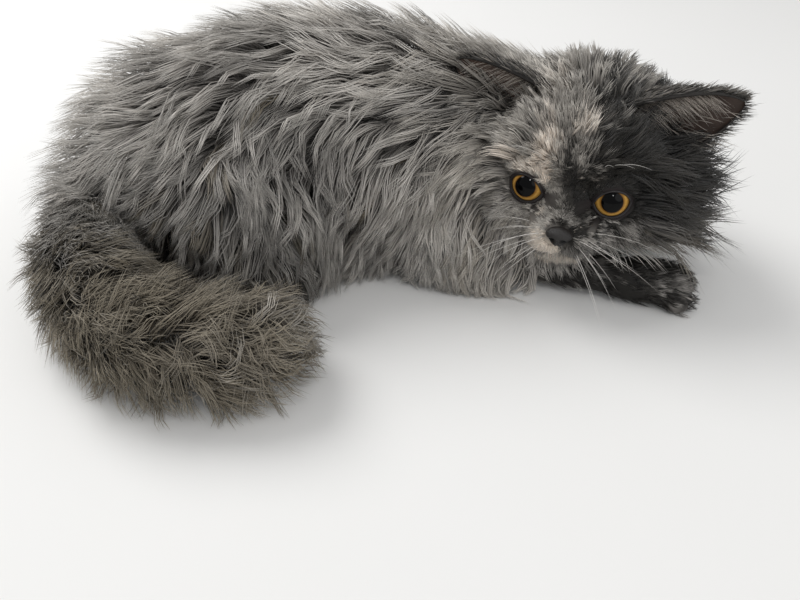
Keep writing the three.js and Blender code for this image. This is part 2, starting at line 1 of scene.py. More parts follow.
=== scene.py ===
# A long-haired Persian cat: one skin, its coat in tufts of tapered strands, eyes, nose, ears and
# whiskers. Sizes are in millimetres in the cat's own coordinates until they go into a mesh.
import math

import bmesh
import bpy
import numpy as np
from mathutils import Matrix, Vector


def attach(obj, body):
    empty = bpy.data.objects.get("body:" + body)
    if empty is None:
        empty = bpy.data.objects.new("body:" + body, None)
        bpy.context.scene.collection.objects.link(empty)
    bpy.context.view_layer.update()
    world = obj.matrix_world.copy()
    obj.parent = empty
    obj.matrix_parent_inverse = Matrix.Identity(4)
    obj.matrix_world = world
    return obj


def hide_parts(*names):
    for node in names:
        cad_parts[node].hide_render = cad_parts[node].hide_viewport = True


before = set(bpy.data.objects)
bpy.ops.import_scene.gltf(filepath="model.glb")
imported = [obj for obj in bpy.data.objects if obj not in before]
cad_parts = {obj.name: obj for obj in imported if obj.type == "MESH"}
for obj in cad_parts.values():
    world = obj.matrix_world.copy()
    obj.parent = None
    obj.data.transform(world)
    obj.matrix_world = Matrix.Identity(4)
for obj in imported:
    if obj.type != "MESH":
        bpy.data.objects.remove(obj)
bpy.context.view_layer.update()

rng = np.random.default_rng(20)

# The flesh has the same measures as the CAD source.
HEAD_AT = np.array([101.0, 23.0, 72.0])
HEAD_HEADING = -110.0
HEAD_DROP = 4.0
HEAD_MIDDLE = np.array([8.0, 0.0, -6.0])
EYE_R = 10.5
EYE_AT = (27.0, 21.5, -2.0)
EYE_OUT = 14.0
EYE_UP = 8.0
EYE_WIDTH = 18.6
EYE_HEIGHT = 16.2
NOSE_AT = np.array([50.0, 0.0, -17.0])

# Each limb: the coat's depth, how far its hair follows the limb's line, how far it falls, and then
# the stations of the line (x, y, z, radius).
LIMBS = {
    "torso": (25, 1.0, 0.45, (64, 66, 54, 36), (36, 66, 58, 44), (-15, 70, 64, 52),
              (-68, 66, 66, 52), (-108, 54, 58, 48), (-132, 46, 50, 38)),
    "neck": (20, -1.0, 0.7, (50, 62, 58, 38), (76, 56, 64, 34), (96, 42, 68, 30)),
    "breast": (14, -0.6, 1.0, (20, 38, 36, 26), (56, 24, 34, 26), (92, 18, 30, 20)),
    "tail": (20, 1.0, 0.15, (-146, 58, 48, 14), (-168, 30, 40, 12), (-170, -16, 32, 12),
             (-152, -54, 30, 12), (-120, -76, 29, 11), (-88, -79, 28, 10), (-70, -76, 28, 8)),
    "thigh_right": (17, -0.4, 1.0, (-116, 26, 56, 32), (-98, 14, 50, 32), (-78, 10, 38, 26)),
    "thigh_left": (17, -0.4, 1.0, (-116, 80, 54, 32), (-98, 96, 48, 32), (-78, 106, 38, 26)),
    "foreleg_right": (4, 1.0, 0.0, (24, 22, 24, 17), (54, 15, 18, 14), (88, 5, 14, 12),
                      (122, -6, 13, 11), (131, -9, 12, 12), (153, -14, 12, 12)),
    "foreleg_left": (4, 1.0, 0.0, (42, 106, 24, 17), (66, 101, 18, 14), (94, 92, 14, 12),
                     (124, 82, 13, 11), (133, 79, 12, 12), (155, 73, 12, 12)),
    "hindleg_right": (4, 1.0, 0.0, (-80, 6, 24, 17), (-118, 6, 16, 13)),
    "hindleg_left": (4, 1.0, 0.0, (-80, 114, 24, 17), (-118, 112, 16, 13)),
    "hindpaw_right": (4, 1.0, 0.0, (-110, 5, 10, 11), (-64, 2, 11, 11)),
    "hindpaw_left": (4, 1.0, 0.0, (-106, 120, 10, 11), (-56, 126, 11, 11)),
}
# Each paw: the places of its heel and front on the floor, and its size
PAWS = {
    "forepaw_right": ((131, -9), (153, -14), 13),
    "forepaw_left": ((133, 79), (155, 73), 13),
    "hindpaw_right": ((-100, 4), (-64, 2), 12),
    "hindpaw_left": ((-96, 126), (-56, 126), 12),
}
# Where the toes are across the paw; their gap and radius are shares of its size.
TOES = (-1.5, -0.5, 0.5, 1.5)
TOE_GAP = 0.44
TOE_R = 0.42
TOE_LONG = 1.35
TOE_BLEND = 1.6
# Each form of the head: centre, radii, and whether there is one on each side
HEAD_FORMS = [
    ((-8, 0, 8), (37, 42, 36), False),
    ((10, 0, 13), (24, 30, 22), False),
    ((18, 19, 10), (17, 17, 15), True),
    ((14, 25, -15), (22, 18, 18), True),
    ((31, 0, -6), (14, 10, 11), False),
    ((37, 8.5, -23), (13, 11, 10), True),
    ((33, 0, -33), (11, 11, 8), False),
    ((8, 0, -26), (26, 28, 16), False),
]
HEAD_BLEND = 9.0
FLESH_BLEND = 12.0
PAW_BLEND = 5.0
FOOT_BLEND = 2.0
COAT_BLEND = 20.0
HEAD_COAT = 8.0
HEAD_FALL = 0.4
# The head counts as this much nearer where the parts of the skin are told apart.
HEAD_LEAD = 2.0
CHUNK = 60000

head_frame = (
    Matrix.Translation(HEAD_AT)
    @ Matrix.Rotation(math.radians(HEAD_HEADING), 4, "Z")
    @ Matrix.Rotation(math.radians(HEAD_DROP), 4, "Y")
)
HEAD_M = np.array(head_frame)
HEAD_I = np.array(head_frame.inverted())


def to_head(p):
    return p @ HEAD_I[:3, :3].T + HEAD_I[:3, 3]


def from_head(q):
    return np.asarray(q, float) @ HEAD_M[:3, :3].T + HEAD_M[:3, 3]


def eye_frame(side):
    return (
        Matrix.Translation((EYE_AT[0], side * EYE_AT[1], EYE_AT[2]))
        @ Matrix.Rotation(math.radians(side * EYE_OUT), 4, "Z")
        @ Matrix.Rotation(math.radians(-EYE_UP), 4, "Y")
    )


EYES = {side: np.array(head_frame @ eye_frame(side)) for side in (1, -1)}


def ball_centre(node):
    """The centre of a round CAD node, fitted to its vertices, in metres."""
    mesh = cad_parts[node].data
    v = np.empty(len(mesh.vertices) * 3)
    mesh.vertices.foreach_get("co", v)
    v = v.reshape(-1, 3)
    a = np.c_[2 * v, np.ones(len(v))]
    return np.linalg.lstsq(a, (v**2).sum(1), rcond=None)[0][:3]


# The cat's own coordinates differ from the frame's only by a shift.
SHIFT = ball_centre("eye_left") * 1000 - EYES[1][:3, 3]


def metres(p):
    return (np.asarray(p, float) + SHIFT) / 1000


def unit(v):
    return v / np.maximum(np.sqrt(np.einsum("...i,...i->...", v, v)), 1e-9)[..., None]


def smooth_step(x, low, high):
    t = np.clip((x - low) / (high - low), 0, 1)
    return t * t * (3 - 2 * t)


def smooth_min(a, b, k):
    h = np.maximum(k - np.abs(a - b), 0) / k
    return np.minimum(a, b) - h * h * k / 4


def radii_out(p, at, r):
    """How far each point is from the middle of an ellipsoid, in its radii."""
    return np.linalg.norm((p - np.array(at, float)) / np.array(r, float), axis=1)


def catmull(points, per=4):
    """A uniform Catmull-Rom curve through the points, with so many steps between two of them."""
    pts = np.array(points, float)
    ext = np.vstack([2 * pts[0] - pts[1], pts, 2 * pts[-1] - pts[-2]])
    out = []
    for i in range(1, len(ext) - 2):
        p0, p1, p2, p3 = ext[i - 1 : i + 3]
        for k in range(per):
            t = k / per
            m1, m2 = (p2 - p0) / 2, (p3 - p1) / 2
            h = (2 * t**3 - 3 * t**2 + 1) * p1 + (t**3 - 2 * t**2 + t) * m1
            out.append(h + (-2 * t**3 + 3 * t**2) * p2 + (t**3 - t**2) * m2)
    out.append(ext[-2])
    return np.array(out)


LINES = {name: catmull(spec[3:]) for name, spec in LIMBS.items()}
LIMB_NAMES = list(LIMBS)
HEAD_PART = len(LIMB_NAMES)


def chunks(p):
    """The points a part at a time, to spare memory, with where each part belongs."""
    for i in range(0, len(p), CHUNK):
        yield slice(i, i + CHUNK), p[i : i + CHUNK]


def ellipsoid(x, y, z, at, r):
    qx, qy, qz = (x - at[0]) / r[0], (y - at[1]) / r[1], (z - at[2]) / r[2]
    k0 = np.sqrt(qx * qx + qy * qy + qz * qz)
    k1 = np.sqrt((qx / r[0]) ** 2 + (qy / r[1]) ** 2 + (qz / r[2]) ** 2)
    return k0 * (k0 - 1) / np.maximum(k1, 1e-9)


def limb_distance(p, line):
    """Distance to the round cones along a line, and the direction and place of the nearest one."""
    x, y, z = np.ascontiguousarray(p.T)
    best = np.full(len(p), 1e9)
    which = np.zeros(len(p), int)
    where = np.zeros(len(p))
    seg = line[1:] - line[:-1]
    for i, (a, ab) in enumerate(zip(line[:-1], seg)):
        dx, dy, dz = x - a[0], y - a[1], z - a[2]
        t = np.clip((dx * ab[0] + dy * ab[1] + dz * ab[2]) / (ab[:3] @ ab[:3]), 0, 1)
        dx -= t * ab[0]
        dy -= t * ab[1]
        dz -= t * ab[2]
        d = np.sqrt(dx * dx + dy * dy + dz * dz) - (a[3] + ab[3] * t)
        near = d < best
        best[near] = d[near]
        which[near] = i
        where[near] = (i + t[near]) / len(seg)
    seg = seg[:, :3] / np.linalg.norm(seg[:, :3], axis=1)[:, None]
    return best, seg[which], where


def head_distance(q):
    x, y, z = np.ascontiguousarray(q.T)
    folded = np.abs(y)
    d = np.full(len(q), 120.0)
    for at, r, pair in HEAD_FORMS:
        d = smooth_min(d, ellipsoid(x, folded if pair else y, z, at, r), HEAD_BLEND)
    return d


def toe_places():
    """The middle of each toe, the size of its paw, and the directions along and across the paw."""
    for heel, front, r in PAWS.values():
        heel, front = np.array(heel, float), np.array(front, float)
        ahead = (front - heel) / np.linalg.norm(front - heel)
        aside = np.array([-ahead[1], ahead[0]])
        for k in TOES:
            at = front + ahead * r * (0.62 - 0.09 * k * k) + aside * k * r * TOE_GAP
            yield np.array([at[0], at[1], r * TOE_GAP]), r, ahead, aside


def toe_distance(p):
    d = np.full(len(p), 1e3)
    for middle, r, ahead, aside in toe_places():
        off = p - middle
        q = np.c_[off[:, :2] @ ahead / TOE_LONG, off[:, :2] @ aside, off[:, 2]]
        d = smooth_min(d, np.linalg.norm(q, axis=1) - r * TOE_R, TOE_BLEND)
    return d


def flesh(p):
    """Signed distance to the flesh, in millimetres."""
    out = np.empty(len(p))
    for here, q in chunks(p):
        d = np.full(len(q), 1e3)
        for name in LIMB_NAMES:
            blend = PAW_BLEND if "paw" in name else FLESH_BLEND
            d = smooth_min(d, limb_distance(q, LINES[name])[0], blend)
        d = smooth_min(d, toe_distance(q), FOOT_BLEND)
        out[here] = smooth_min(d, head_distance(to_head(q)), FLESH_BLEND)
    return out


def normals(p, step=1.2):
    g = np.stack([flesh(p + e) - flesh(p - e) for e in np.eye(3) * step], 1)
    return g / np.maximum(np.linalg.norm(g, axis=1), 1e-9)[:, None]


def coat(p):
    """Depth and lie of the coat."""
    depth, way = np.empty(len(p)), np.empty((len(p), 3))
    for here, q in chunks(p):
        ds, ways, coats = [], [], []
        for name in LIMB_NAMES:
            deep, along, fall = LIMBS[name][:3]
            d, direction, _ = limb_distance(q, LINES[name])
            ds.append(d)
            ways.append(direction * along - np.array([0, 0, fall]))
            coats.append(deep)
        h = to_head(q)
        out = h - NOSE_AT
        out /= np.maximum(np.linalg.norm(out, axis=1), 1e-9)[:, None]
        ds.append(head_distance(h))
        ways.append(out @ HEAD_M[:3, :3].T - np.array([0, 0, HEAD_FALL]))
        coats.append(HEAD_COAT)
        ds = np.array(ds)
        w = np.maximum(1 - (ds - ds.min(0)) / COAT_BLEND, 0) ** 2
        total = w.sum(0)
        depth[here] = (w * np.array(coats)[:, None]).sum(0) / total
        way[here] = np.einsum("kn,knj->nj", w, np.array(ways)) / total[:, None]
    return depth, way


class Field:
    """Distance to the flesh, its normal, and the coat's depth and lie, kept on a grid for the hair."""

    def __init__(self, low, high, step):
        self.low, self.step = np.array(low, float), step
        axes = [np.arange(a, b + step, step) for a, b in zip(low, high)]
        self.shape = tuple(len(a) for a in axes)
        p = np.stack(np.meshgrid(*axes, indexing="ij"), -1).reshape(-1, 3)
        d = flesh(p).reshape(self.shape)
        depth, way = coat(p)
        n = unit(np.stack(np.gradient(d, step), -1)).reshape(-1, 3)
        self.table = np.c_[d.ravel(), n, depth, way].astype(np.float32)

    def __call__(self, p):
        """Distance, normal, depth and lie at the points."""
        at = np.clip((p - self.low) / self.step, 0, np.array(self.shape) - 1.001)
        base = at.astype(int)
        t = (at - base).astype(np.float32)
        _, ny, nz = self.shape
        first = (base[:, 0] * ny + base[:, 1]) * nz + base[:, 2]
        total = np.zeros((len(p), self.table.shape[1]), np.float32)
        sides = [(1 - t[:, k], t[:, k]) for k in range(3)]
        for dx in (0, 1):
            for dy in (0, 1):
                for dz in (0, 1):
                    share = sides[0][dx] * sides[1][dy] * sides[2][dz]
                    total += share[:, None] * self.table[first + (dx * ny + dy) * nz + dz]
        total = total.astype(float)
        return total[:, 0], unit(total[:, 1:4]), total[:, 4], total[:, 5:8]


FIELD_LOW = (-215, -125, -4)
FIELD_HIGH = (190, 165, 160)
FIELD_STEP = 3.0
field = Field(FIELD_LOW, FIELD_HIGH, FIELD_STEP)


def head_round(q):
    """Angle in degrees from the nose's direction, seen from the middle of the head."""
    out = unit(q - HEAD_MIDDLE)
    return np.degrees(np.arccos(np.clip(out[:, 0], -1, 1)))


def turns(sideways, upwards):
    return np.arctan2(sideways, upwards) / (2 * np.pi) + 0.5


def nearest_part(p):
    """Index of the limb nearest to each point, the head last, with the place along and around it."""
    part, along, around = np.empty(len(p), int), np.empty(len(p)), np.empty(len(p))
    for here, q in chunks(p):
        ds, us, vs = [], [], []
        for name in LIMB_NAMES:
            d, direction, where = limb_distance(q, LINES[name])
            line = LINES[name][:, :3]
            at = where * (len(line) - 1)
            low = np.clip(at.astype(int), 0, len(line) - 2)
            spine = line[low] + (line[low + 1] - line[low]) * (at - low)[:, None]
            side = unit(np.cross(direction, np.array([0, 0, 1.0])))
            up = np.cross(side, direction)
            off = q - spine
            ds.append(d)
            us.append(where)
            vs.append(turns((off * side).sum(1), (off * up).sum(1)))
        h = to_head(q)
        ds.append(head_distance(h) - HEAD_LEAD)
        us.append(head_round(h) / 180)
        vs.append(turns(h[:, 1], h[:, 2] - HEAD_MIDDLE[2]))
        best = np.argmin(ds, 0)
        pick = np.arange(len(q))
        part[here] = best
        along[here] = np.array(us)[best, pick]
        around[here] = np.array(vs)[best, pick]
    return part, along, around


# Marks on the head (centre, radii, weights of dark, cream and brown), in the head's frame
HEAD_MARKS = [
    ((0, 0, 20), (70, 70, 60), (0.12, 0, 0.3)),
    # Darker on the head's left side (side 1): its own dark coat, and painted shade on the side turned
    # from the light
    ((12, 36, 8), (46, 38, 42), (1.15, 0, -0.2)),
    ((22, 22, 26), (20, 16, 22), (0.75, -0.2, -0.1)),
    ((34, 6, -2), (16, 12, 22), (0.8, 0, 0)),
    ((8, 44, -28), (26, 20, 20), (-0.6, 0, 0.7)),
    ((30, -13.5, 18), (11, 5.6, 15), (-1.0, 1.25, 0)),
    ((28, -23, 10), (9, 9, 5.5), (-0.6, 0.5, 0)),
    ((24, 2, 34), (6, 4, 6), (-0.6, 0.6, 0)),
    ((10, -16, 42), (16, 14, 10), (-0.4, 0.2, 0)),
    ((34, 14, 11), (5, 8, 2.5), (-0.5, 0.16, 0)),
    ((46, -9, -25), (7, 7, 8), (-0.7, 0.8, 0.1)),
    ((46, 9, -25), (9, 9, 9), (0.6, 0, 0)),
    ((44, 2, -36), (9, 11, 6), (-0.7, 0.45, 0.4)),
    ((42, -12, -9), (5, 3, 6), (-0.3, 0.35, 0)),
]
# Marks on the body, in the cat's own coordinates, two of them with painted light and painted shade
BODY_MARKS = [
    # Less dark on the top of the rump: a paler coat, and painted light
    ((-110, 60, 110), (60, 60, 40), (-0.15, 0.0, -0.1)),
    ((-130, -66, 20), (90, 66, 60), (0.0, 0.0, 0.95)),
    # Dark in the hollow between the tail and the right thigh: painted shade
    ((-104, -14, 20), (50, 36, 30), (0.6, 0.0, 0.2)),
    ((136, -8, 10), (62, 24, 24), (1.15, 0, 0)),
    ((122, 84, 12), (95, 30, 30), (0.9, 0, 0.1)),
    ((52, 8, 24), (30, 34, 30), (0.0, 0, 0.25)),
    ((60, 20, 10), (50, 50, 12), (0.1, 0, 0.2)),
    ((-20, 12, 14), (90, 30, 18), (0.3, 0, 0.15)),
    ((116, 46, 60), (30, 24, 40), (0.3, 0, 0.45)),
]
# Lighter and darker parts of the coat (centre, radii, change), in the cat's own coordinates: its own
# tone, with painted light on the top of the rump and painted shade in the hollow between the tail and the
# right thigh
SHADES = [
    # The top of the rump: a paler coat, and painted light where the light falls on it
    ((-130, 60, 112), (60, 60, 50), 0.24),
    ((-56, 14, 60), (40, 44, 34), -0.14),
    ((14, 10, 92), (34, 36, 30), 0.26),
    ((39, -5, 60), (34, 40, 30), 0.26),
    # Painted shade in the hollow between the tail and the right thigh, here and in the next entry
    ((-108, 4, 40), (38, 34, 34), -0.3),
    ((-104, -22, 20), (60, 44, 46), -0.5),
    ((66, 6, 40), (40, 44, 44), 0.42),
    ((50, 66, 100), (40, 40, 40), 0.2),
    ((20, 60, 112), (40, 50, 30), 0.1),
]
WAVES = 7


def blotch(p, scale, seed):
    """Smooth noise from a few crossed waves, about -1 to 1."""
    draw = np.random.default_rng(seed)
    total = np.zeros(len(p))
    for _ in range(WAVES):
        k = unit(draw.normal(size=3)) / scale * draw.uniform(0.6, 1.7)
        total += np.sin(p @ k * 2 * np.pi + draw.uniform(0, 6.3))
    return total / 3.2


def tones(p, jitter=0.0):
    """How dark, cream and brown the hair rooted at each point is, with the painted light and shade that
    some marks hold.
    """
    out = np.zeros((len(p), 3))
    uneven = 1 + 0.28 * blotch(p, 16, 3) + 0.2 * blotch(p, 7, 4) + jitter
    for marks, q in ((HEAD_MARKS, to_head(p)), (BODY_MARKS, p)):
        for at, r, weight in marks:
            d = radii_out(q, at, r) * uneven
            out += (1 - smooth_step(d, 0.6, 1.25))[:, None] * np.array(weight)
    out[:, 0] += 0.12 * blotch(p, 34, 5) + 0.1 * blotch(p, 13, 6)
    return np.clip(out, 0, 1)


def shades(p):
    """How light the hair rooted at each point is, about 0 to 1: uneven on its own, with painted light and
    painted shade from SHADES.
    """
    out = 0.5 + 0.2 * blotch(p, 34, 8) + 0.08 * blotch(p, 13, 9)
    for at, r, change in SHADES:
        out += change * (1 - smooth_step(radii_out(p, at, r), 0.5, 1.3))
    return out


def new_object(name, data):
    ob = bpy.data.objects.new(name, data)
    bpy.context.scene.collection.objects.link(ob)
    return ob


def triangle_object(name, verts, tris):
    """An object from arrays of vertices, in millimetres of the cat's own coordinates, and triangles."""
    mesh = bpy.data.meshes.new(name)
    mesh.vertices.add(len(verts))
    mesh.vertices.foreach_set("co", metres(verts).astype(np.float32).ravel())
    mesh.loops.add(len(tris) * 3)
    mesh.loops.foreach_set("vertex_index", tris.astype(np.int32).ravel())
    mesh.polygons.add(len(tris))
    mesh.polygons.foreach_set("loop_start", np.arange(0, len(tris) * 3, 3, dtype=np.int32))
    mesh.update(calc_edges=True)
    mesh.polygons.foreach_set("use_smooth", np.ones(len(tris), bool))
    mesh.update()
    return new_object(name, mesh)


def outward(verts, tris):
    """The triangles turned so that the closed form they make has its faces out."""
    a, b, c = (verts[tris[:, k]] for k in range(3))
    return tris if np.einsum("ij,ij->", a, np.cross(b, c)) > 0 else tris[:, ::-1]


def merged(name, parts):
    """One object from several closed forms."""
    verts, tris, start = [], [], 0
    for v, t in parts:
        verts.append(v)
        tris.append(outward(v, t) + start)
        start += len(v)
    return triangle_object(name, np.vstack(verts), np.vstack(tris))


def give(ob, name, values):
    """A point attribute on the object's mesh, of numbers or of vectors."""
    values = np.asarray(values, np.float32)
    kind, key = ("FLOAT_VECTOR", "vector") if values.ndim == 2 else ("FLOAT", "value")
    ob.data.attributes.new(name, kind, "POINT").data.foreach_set(key, values.ravel())


# The unwrap has a tile for each part of the skin, laid out in a square.
TILES = 4
TILE_MARGIN = 0.03
PATCH = 0.003


def bake_places(root):
    """The roots' own places on the unwrap, each on its part's tile."""
    part, along, around = nearest_part(root)
    inside = np.clip(np.c_[along, around], 0, 1) * (1 - 2 * TILE_MARGIN) + TILE_MARGIN
    return (np.c_[part % TILES, part // TILES] + inside) / TILES


def bake_map(ob, uv):
    """The OFBake map, from one place for each vertex."""
    layer = ob.data.uv_layers.new(name="OFBake")
    loops = np.empty(len(ob.data.loops), np.int32)
    ob.data.loops.foreach_get("vertex_index", loops)
    layer.uv.foreach_set("vector", uv[loops].astype(np.float32).ravel())


def settle(ob, slot, *nodes):
    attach(ob, "root")
    if nodes:
        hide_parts(*nodes)
    return ob


def plug(node, key, value):
    """Links a socket to a node's input, or sets the input to a value."""
    if isinstance(value, bpy.types.NodeSocket):
        node.id_data.links.new(value, node.inputs[key])
    else:
        node.inputs[key].default_value = value


def node_maker(tree):
    def make(kind, inputs=None, **settings):
        node = tree.nodes.new("ShaderNode" + kind)
        for key, value in settings.items():
            setattr(node, key, value)
        for key, value in (inputs or {}).items():
            plug(node, key, value)
        return node

    return make


# Where a Mix node that mixes colours has its factor, its two colours and its result
MIX_INPUTS = (0, 6, 7)
MIX_RESULT = 2


def mix(make, factor, a, b):
    inputs = dict(zip(MIX_INPUTS, (factor, a, b)))
    return make("Mix", inputs, data_type="RGBA").outputs[MIX_RESULT]


def noise(make, place, scale, detail=2.0):
    return make("TexNoise", {"Vector": place, "Scale": scale, "Detail": detail}).outputs["Fac"]


def ramp(make, value, low, high, first=0.0, last=1.0):
    """The value, carried from the range low to high to the range first to last."""
    inputs = {"Value": value, "From Min": low, "From Max": high, "To Min": first, "To Max": last}
    return make("MapRange", inputs).outputs[0]


def times(make, a, b):
    return make("Math", {0: a, 1: b}, operation="MULTIPLY").outputs[0]


def attribute(make, name, output):
    return make("Attribute", attribute_name=name).outputs[output]


def object_place(make):
    return make("TexCoord").outputs["Object"]


def bump(make, height, strength, distance):
    inputs = {"Height": height, "Strength": strength, "Distance": distance}
    return make("Bump", inputs).outputs[0]


def material(name):
    made = bpy.data.materials.new(name)
    made.use_nodes = True
    made.node_tree.nodes.clear()
    return made, node_maker(made.node_tree)


def surface(make, colour, roughness, specular, **more):
    """Ends a material with its shader; more inputs are named with _ for a space."""
    inputs = {"Base Color": colour, "Roughness": roughness, "Specular IOR Level": specular}
    inputs.update((key.replace("_", " "), value) for key, value in more.items())
    shader = make("BsdfPrincipled", inputs)
    make("OutputMaterial", {"Surface": shader.outputs[0]})


def rgb(red, green, blue):
    """A colour given as it looks on screen, 0 to 255."""
    return tuple((c / 255) ** 2.2 for c in (red, green, blue)) + (1.0,)


GREY_LOW = rgb(120, 115, 109)
GREY_HIGH = rgb(162, 158, 153)
BROWN = rgb(99, 91, 78)
DARK = rgb(35, 33, 30)
CREAM = rgb(222, 208, 192)
SILVER = rgb(226, 221, 213)
FAWN = rgb(164, 154, 135)
DARK_TIP = rgb(62, 59, 54)
CREAM_TIP = rgb(246, 238, 228)
BARE_SKIN = rgb(34, 28, 28)
# What the coat's colour is made from: each input, its kind, and the output of its attribute
COAT_INPUTS = (
    ("Tone", "Vector", "Vector"),
    ("Root", "Vector", "Vector"),
    ("Along", "Float", "Fac"),
    ("Shade", "Float", "Fac"),
)


def by_tone(make, tone, colour, brown, dark, cream):
    """A colour with the brown, dark and cream marks laid over it in turn."""
    for axis, mark in (("Z", brown), ("X", dark), ("Y", cream)):
        colour = mix(make, tone.outputs[axis], colour, mark)
    return colour


def markings_group():
    """Tone, place and shade in, the coat's colour out, with its painted light and shade: the same group
    colours skin and hair.
    """
    tree = bpy.data.node_groups.new("markings", "ShaderNodeTree")
    for name, kind, _ in COAT_INPUTS:
        tree.interface.new_socket(name, in_out="INPUT", socket_type="NodeSocket" + kind)
    tree.interface.new_socket("Color", in_out="OUTPUT", socket_type="NodeSocketColor")
    make = node_maker(tree)
    given = tree.nodes.new("NodeGroupInput").outputs
    tone = make("SeparateXYZ", {0: given["Tone"]})
    grey = mix(make, noise(make, given["Root"], 28.0, 3.0), GREY_LOW, GREY_HIGH)
    colour = by_tone(make, tone, grey, BROWN, DARK, CREAM)
    # Towards the tips the colour turns paler: partly the tips' own silver, fawn and cream, partly painted
    # light for the glint on the tips and the light shining through them
    pale = by_tone(make, tone, SILVER, FAWN, DARK_TIP, CREAM_TIP)
    colour = mix(make, ramp(make, given["Along"], 0.3, 1.0, 0.0, 0.65), colour, pale)
    under = ramp(make, given["Along"], 0.0, 0.45, 0.55, 1.0)
    # The shade input carries the coat's own lighter and darker tufts, and the painted light and shade of
    # SHADES
    level = ramp(make, given["Shade"], 0.0, 1.0, 0.58, 1.42)
    speck = ramp(make, noise(make, given["Root"], 260.0), 0.3, 0.7, 0.88, 1.12)
    light = times(make, times(make, under, level), speck)
    scaled = make("VectorMath", {0: colour, "Scale": light}, operation="SCALE")
    plug(tree.nodes.new("NodeGroupOutput"), "Color", scaled.outputs[0])
    return tree


MARKINGS = markings_group()


def coat_colour(make):
    node = make("Group", node_tree=MARKINGS)
    for name, _, output in COAT_INPUTS:
        plug(node, name, attribute(make, name.lower(), output))
    return node.outputs["Color"]


def hair_material(name, roughness, sheen):
    made, make = material(name)
    surface(make, coat_colour(make), roughness, 0.35, Sheen_Weight=sheen, Sheen_Roughness=0.4)
    return made


def skin_material():
    """Skin with short fur on it: the coat's colours and a bump drawn out along the body."""
    made, make = material("skin")
    scale = {"Vector": object_place(make), "Scale": (500.0, 900.0, 1500.0)}
    hairs = noise(make, make("Mapping", scale).outputs[0], 1.0, 3.0)
    colour = mix(make, attribute(make, "bare", "Fac"), coat_colour(make), BARE_SKIN)
    surface(make, colour, 0.7, 0.3, Normal=bump(make, hairs, 0.5, 0.0005))
    return made


SKIN_VOXEL = 0.0019
SKIN_FLOOR = 0.8
PULL = 3.0
OUTLINE_POINTS = 48
# Each lid: its thickness, how fast it thins away from the opening, how steep it may be near it, and
# how far from the outline it reaches
LID = 1.6
LID_THINS = 7.0
LID_SLOPE = 1.1
LID_NEAR = 4
LID_REACH = 9
SOCKET_REACH = 14
OPENING_DEPTH = 2.2
# Depth and half width of each dent on the face
LIP_DENT = (1.7, 1.3)
FOLD_DENT = (0.9, 2.6)
STOP_DEPTH = 1.4
STOP_AT = (45, 0, -5)
STOP_RADII = (7, 9, 5)
# The middle of the face, and how far round it the skin has finer faces
FACE_MIDDLE = (30, 0, -8)
FACE_R = 42
FACE_FRONT = 12
# Lines on the head, drawn on its left side: the mouth, the groove under the nose, the cheek's fold
LIP_LINE = np.array([(50, 0, -29), (46, 7, -32), (38, 15, -31), (30, 20, -28)], float)
PHILTRUM = np.array([(52, 0, -23), (50, 0, -29.5)], float)
CHEEK_FOLD = np.array([(37, 7, -1), (34, 15, -13), (28, 26, -22)], float)


def unit_ball():
    """Vertices and triangles of a round ball of radius 1."""
    bm = bmesh.new()
    bmesh.ops.create_icosphere(bm, subdivisions=3, radius=1.0)
    verts = np.array([v.co for v in bm.verts])
    tris = np.array([[v.index for v in f.verts] for f in bm.faces])
    bm.free()
    return verts, tris


def join_forms():
    """Balls along each limb, for each form of the head and for each toe, grown into one mesh."""
    ball, tris = unit_ball()
    forms = []
    for line in LINES.values():
        for a, b in zip(line[:-1], line[1:]):
            for t in (0, 1 / 3, 2 / 3):
                at = a + (b - a) * t
                forms.append(at[:3] + at[3] * ball)
        forms.append(line[-1][:3] + line[-1][3] * ball)
    for at, r, pair in HEAD_FORMS:
        for side in (1, -1) if pair else (1,):
            forms.append(from_head(np.array(at) * np.array([1, side, 1]) + np.array(r) * ball))
    for middle, r, _, _ in toe_places():
        forms.append(middle + r * TOE_R * ball)
    starts = np.arange(len(forms)) * len(ball)
    tris = (tris[None] + starts[:, None, None]).reshape(-1, 3)
    ob = triangle_object("skin", np.vstack(forms), tris)
    remesh = ob.modifiers.new("remesh", "REMESH")
    remesh.mode = "VOXEL"
    remesh.voxel_size = SKIN_VOXEL
    bpy.context.view_layer.objects.active = ob
    bpy.ops.object.modifier_apply(modifier="remesh")
    return ob


def vertices_of(ob):
    co = np.empty(len(ob.data.vertices) * 3)
    ob.data.vertices.foreach_get("co", co)
    return co.reshape(-1, 3) * 1000 - SHIFT


def set_vertices(ob, p):
    ob.data.vertices.foreach_set("co", metres(p).astype(np.float32).ravel())
    ob.data.update()


def relax(p, edges, rounds):
    """Moves each vertex half way to the mean of its neighbours, so many times."""
    for _ in range(rounds):
        total = np.zeros_like(p)
        count = np.zeros(len(p))
        for a, b in (edges.T, edges.T[::-1]):
            count += np.bincount(a, minlength=len(p))
            for k in range(3):
                total[:, k] += np.bincount(a, p[b, k], len(p))
        p = p + (total / np.maximum(count, 1)[:, None] - p) * 0.5
    return p


def to_surface(p, rounds):
    for _ in range(rounds):
        d = flesh(p)
        p = p - normals(p) * np.clip(d, -PULL, PULL)[:, None]
    return p


def eye_outline():
    """The opening between the lids, in the eye's frame, across and up."""
    w, h = EYE_WIDTH / 2, EYE_HEIGHT / 2
    inner, outer = np.array([-w, -1.0]), np.array([w, 0.5])
    top = [inner, np.array([-0.7 * w, 1.15 * h]), np.array([0.6 * w, 1.2 * h]), outer]
    low = [outer, np.array([0.7 * w, -1.3 * h]), np.array([-0.6 * w, -1.3 * h]), inner]
    half = OUTLINE_POINTS // 2
    line = []
    for a, b, c, d in (top, low):
        for t in np.arange(half) / half:
            s = 1 - t
            line.append(a * s**3 + 3 * b * t * s**2 + 3 * c * t * t * s + d * t**3)
    return np.array(line)


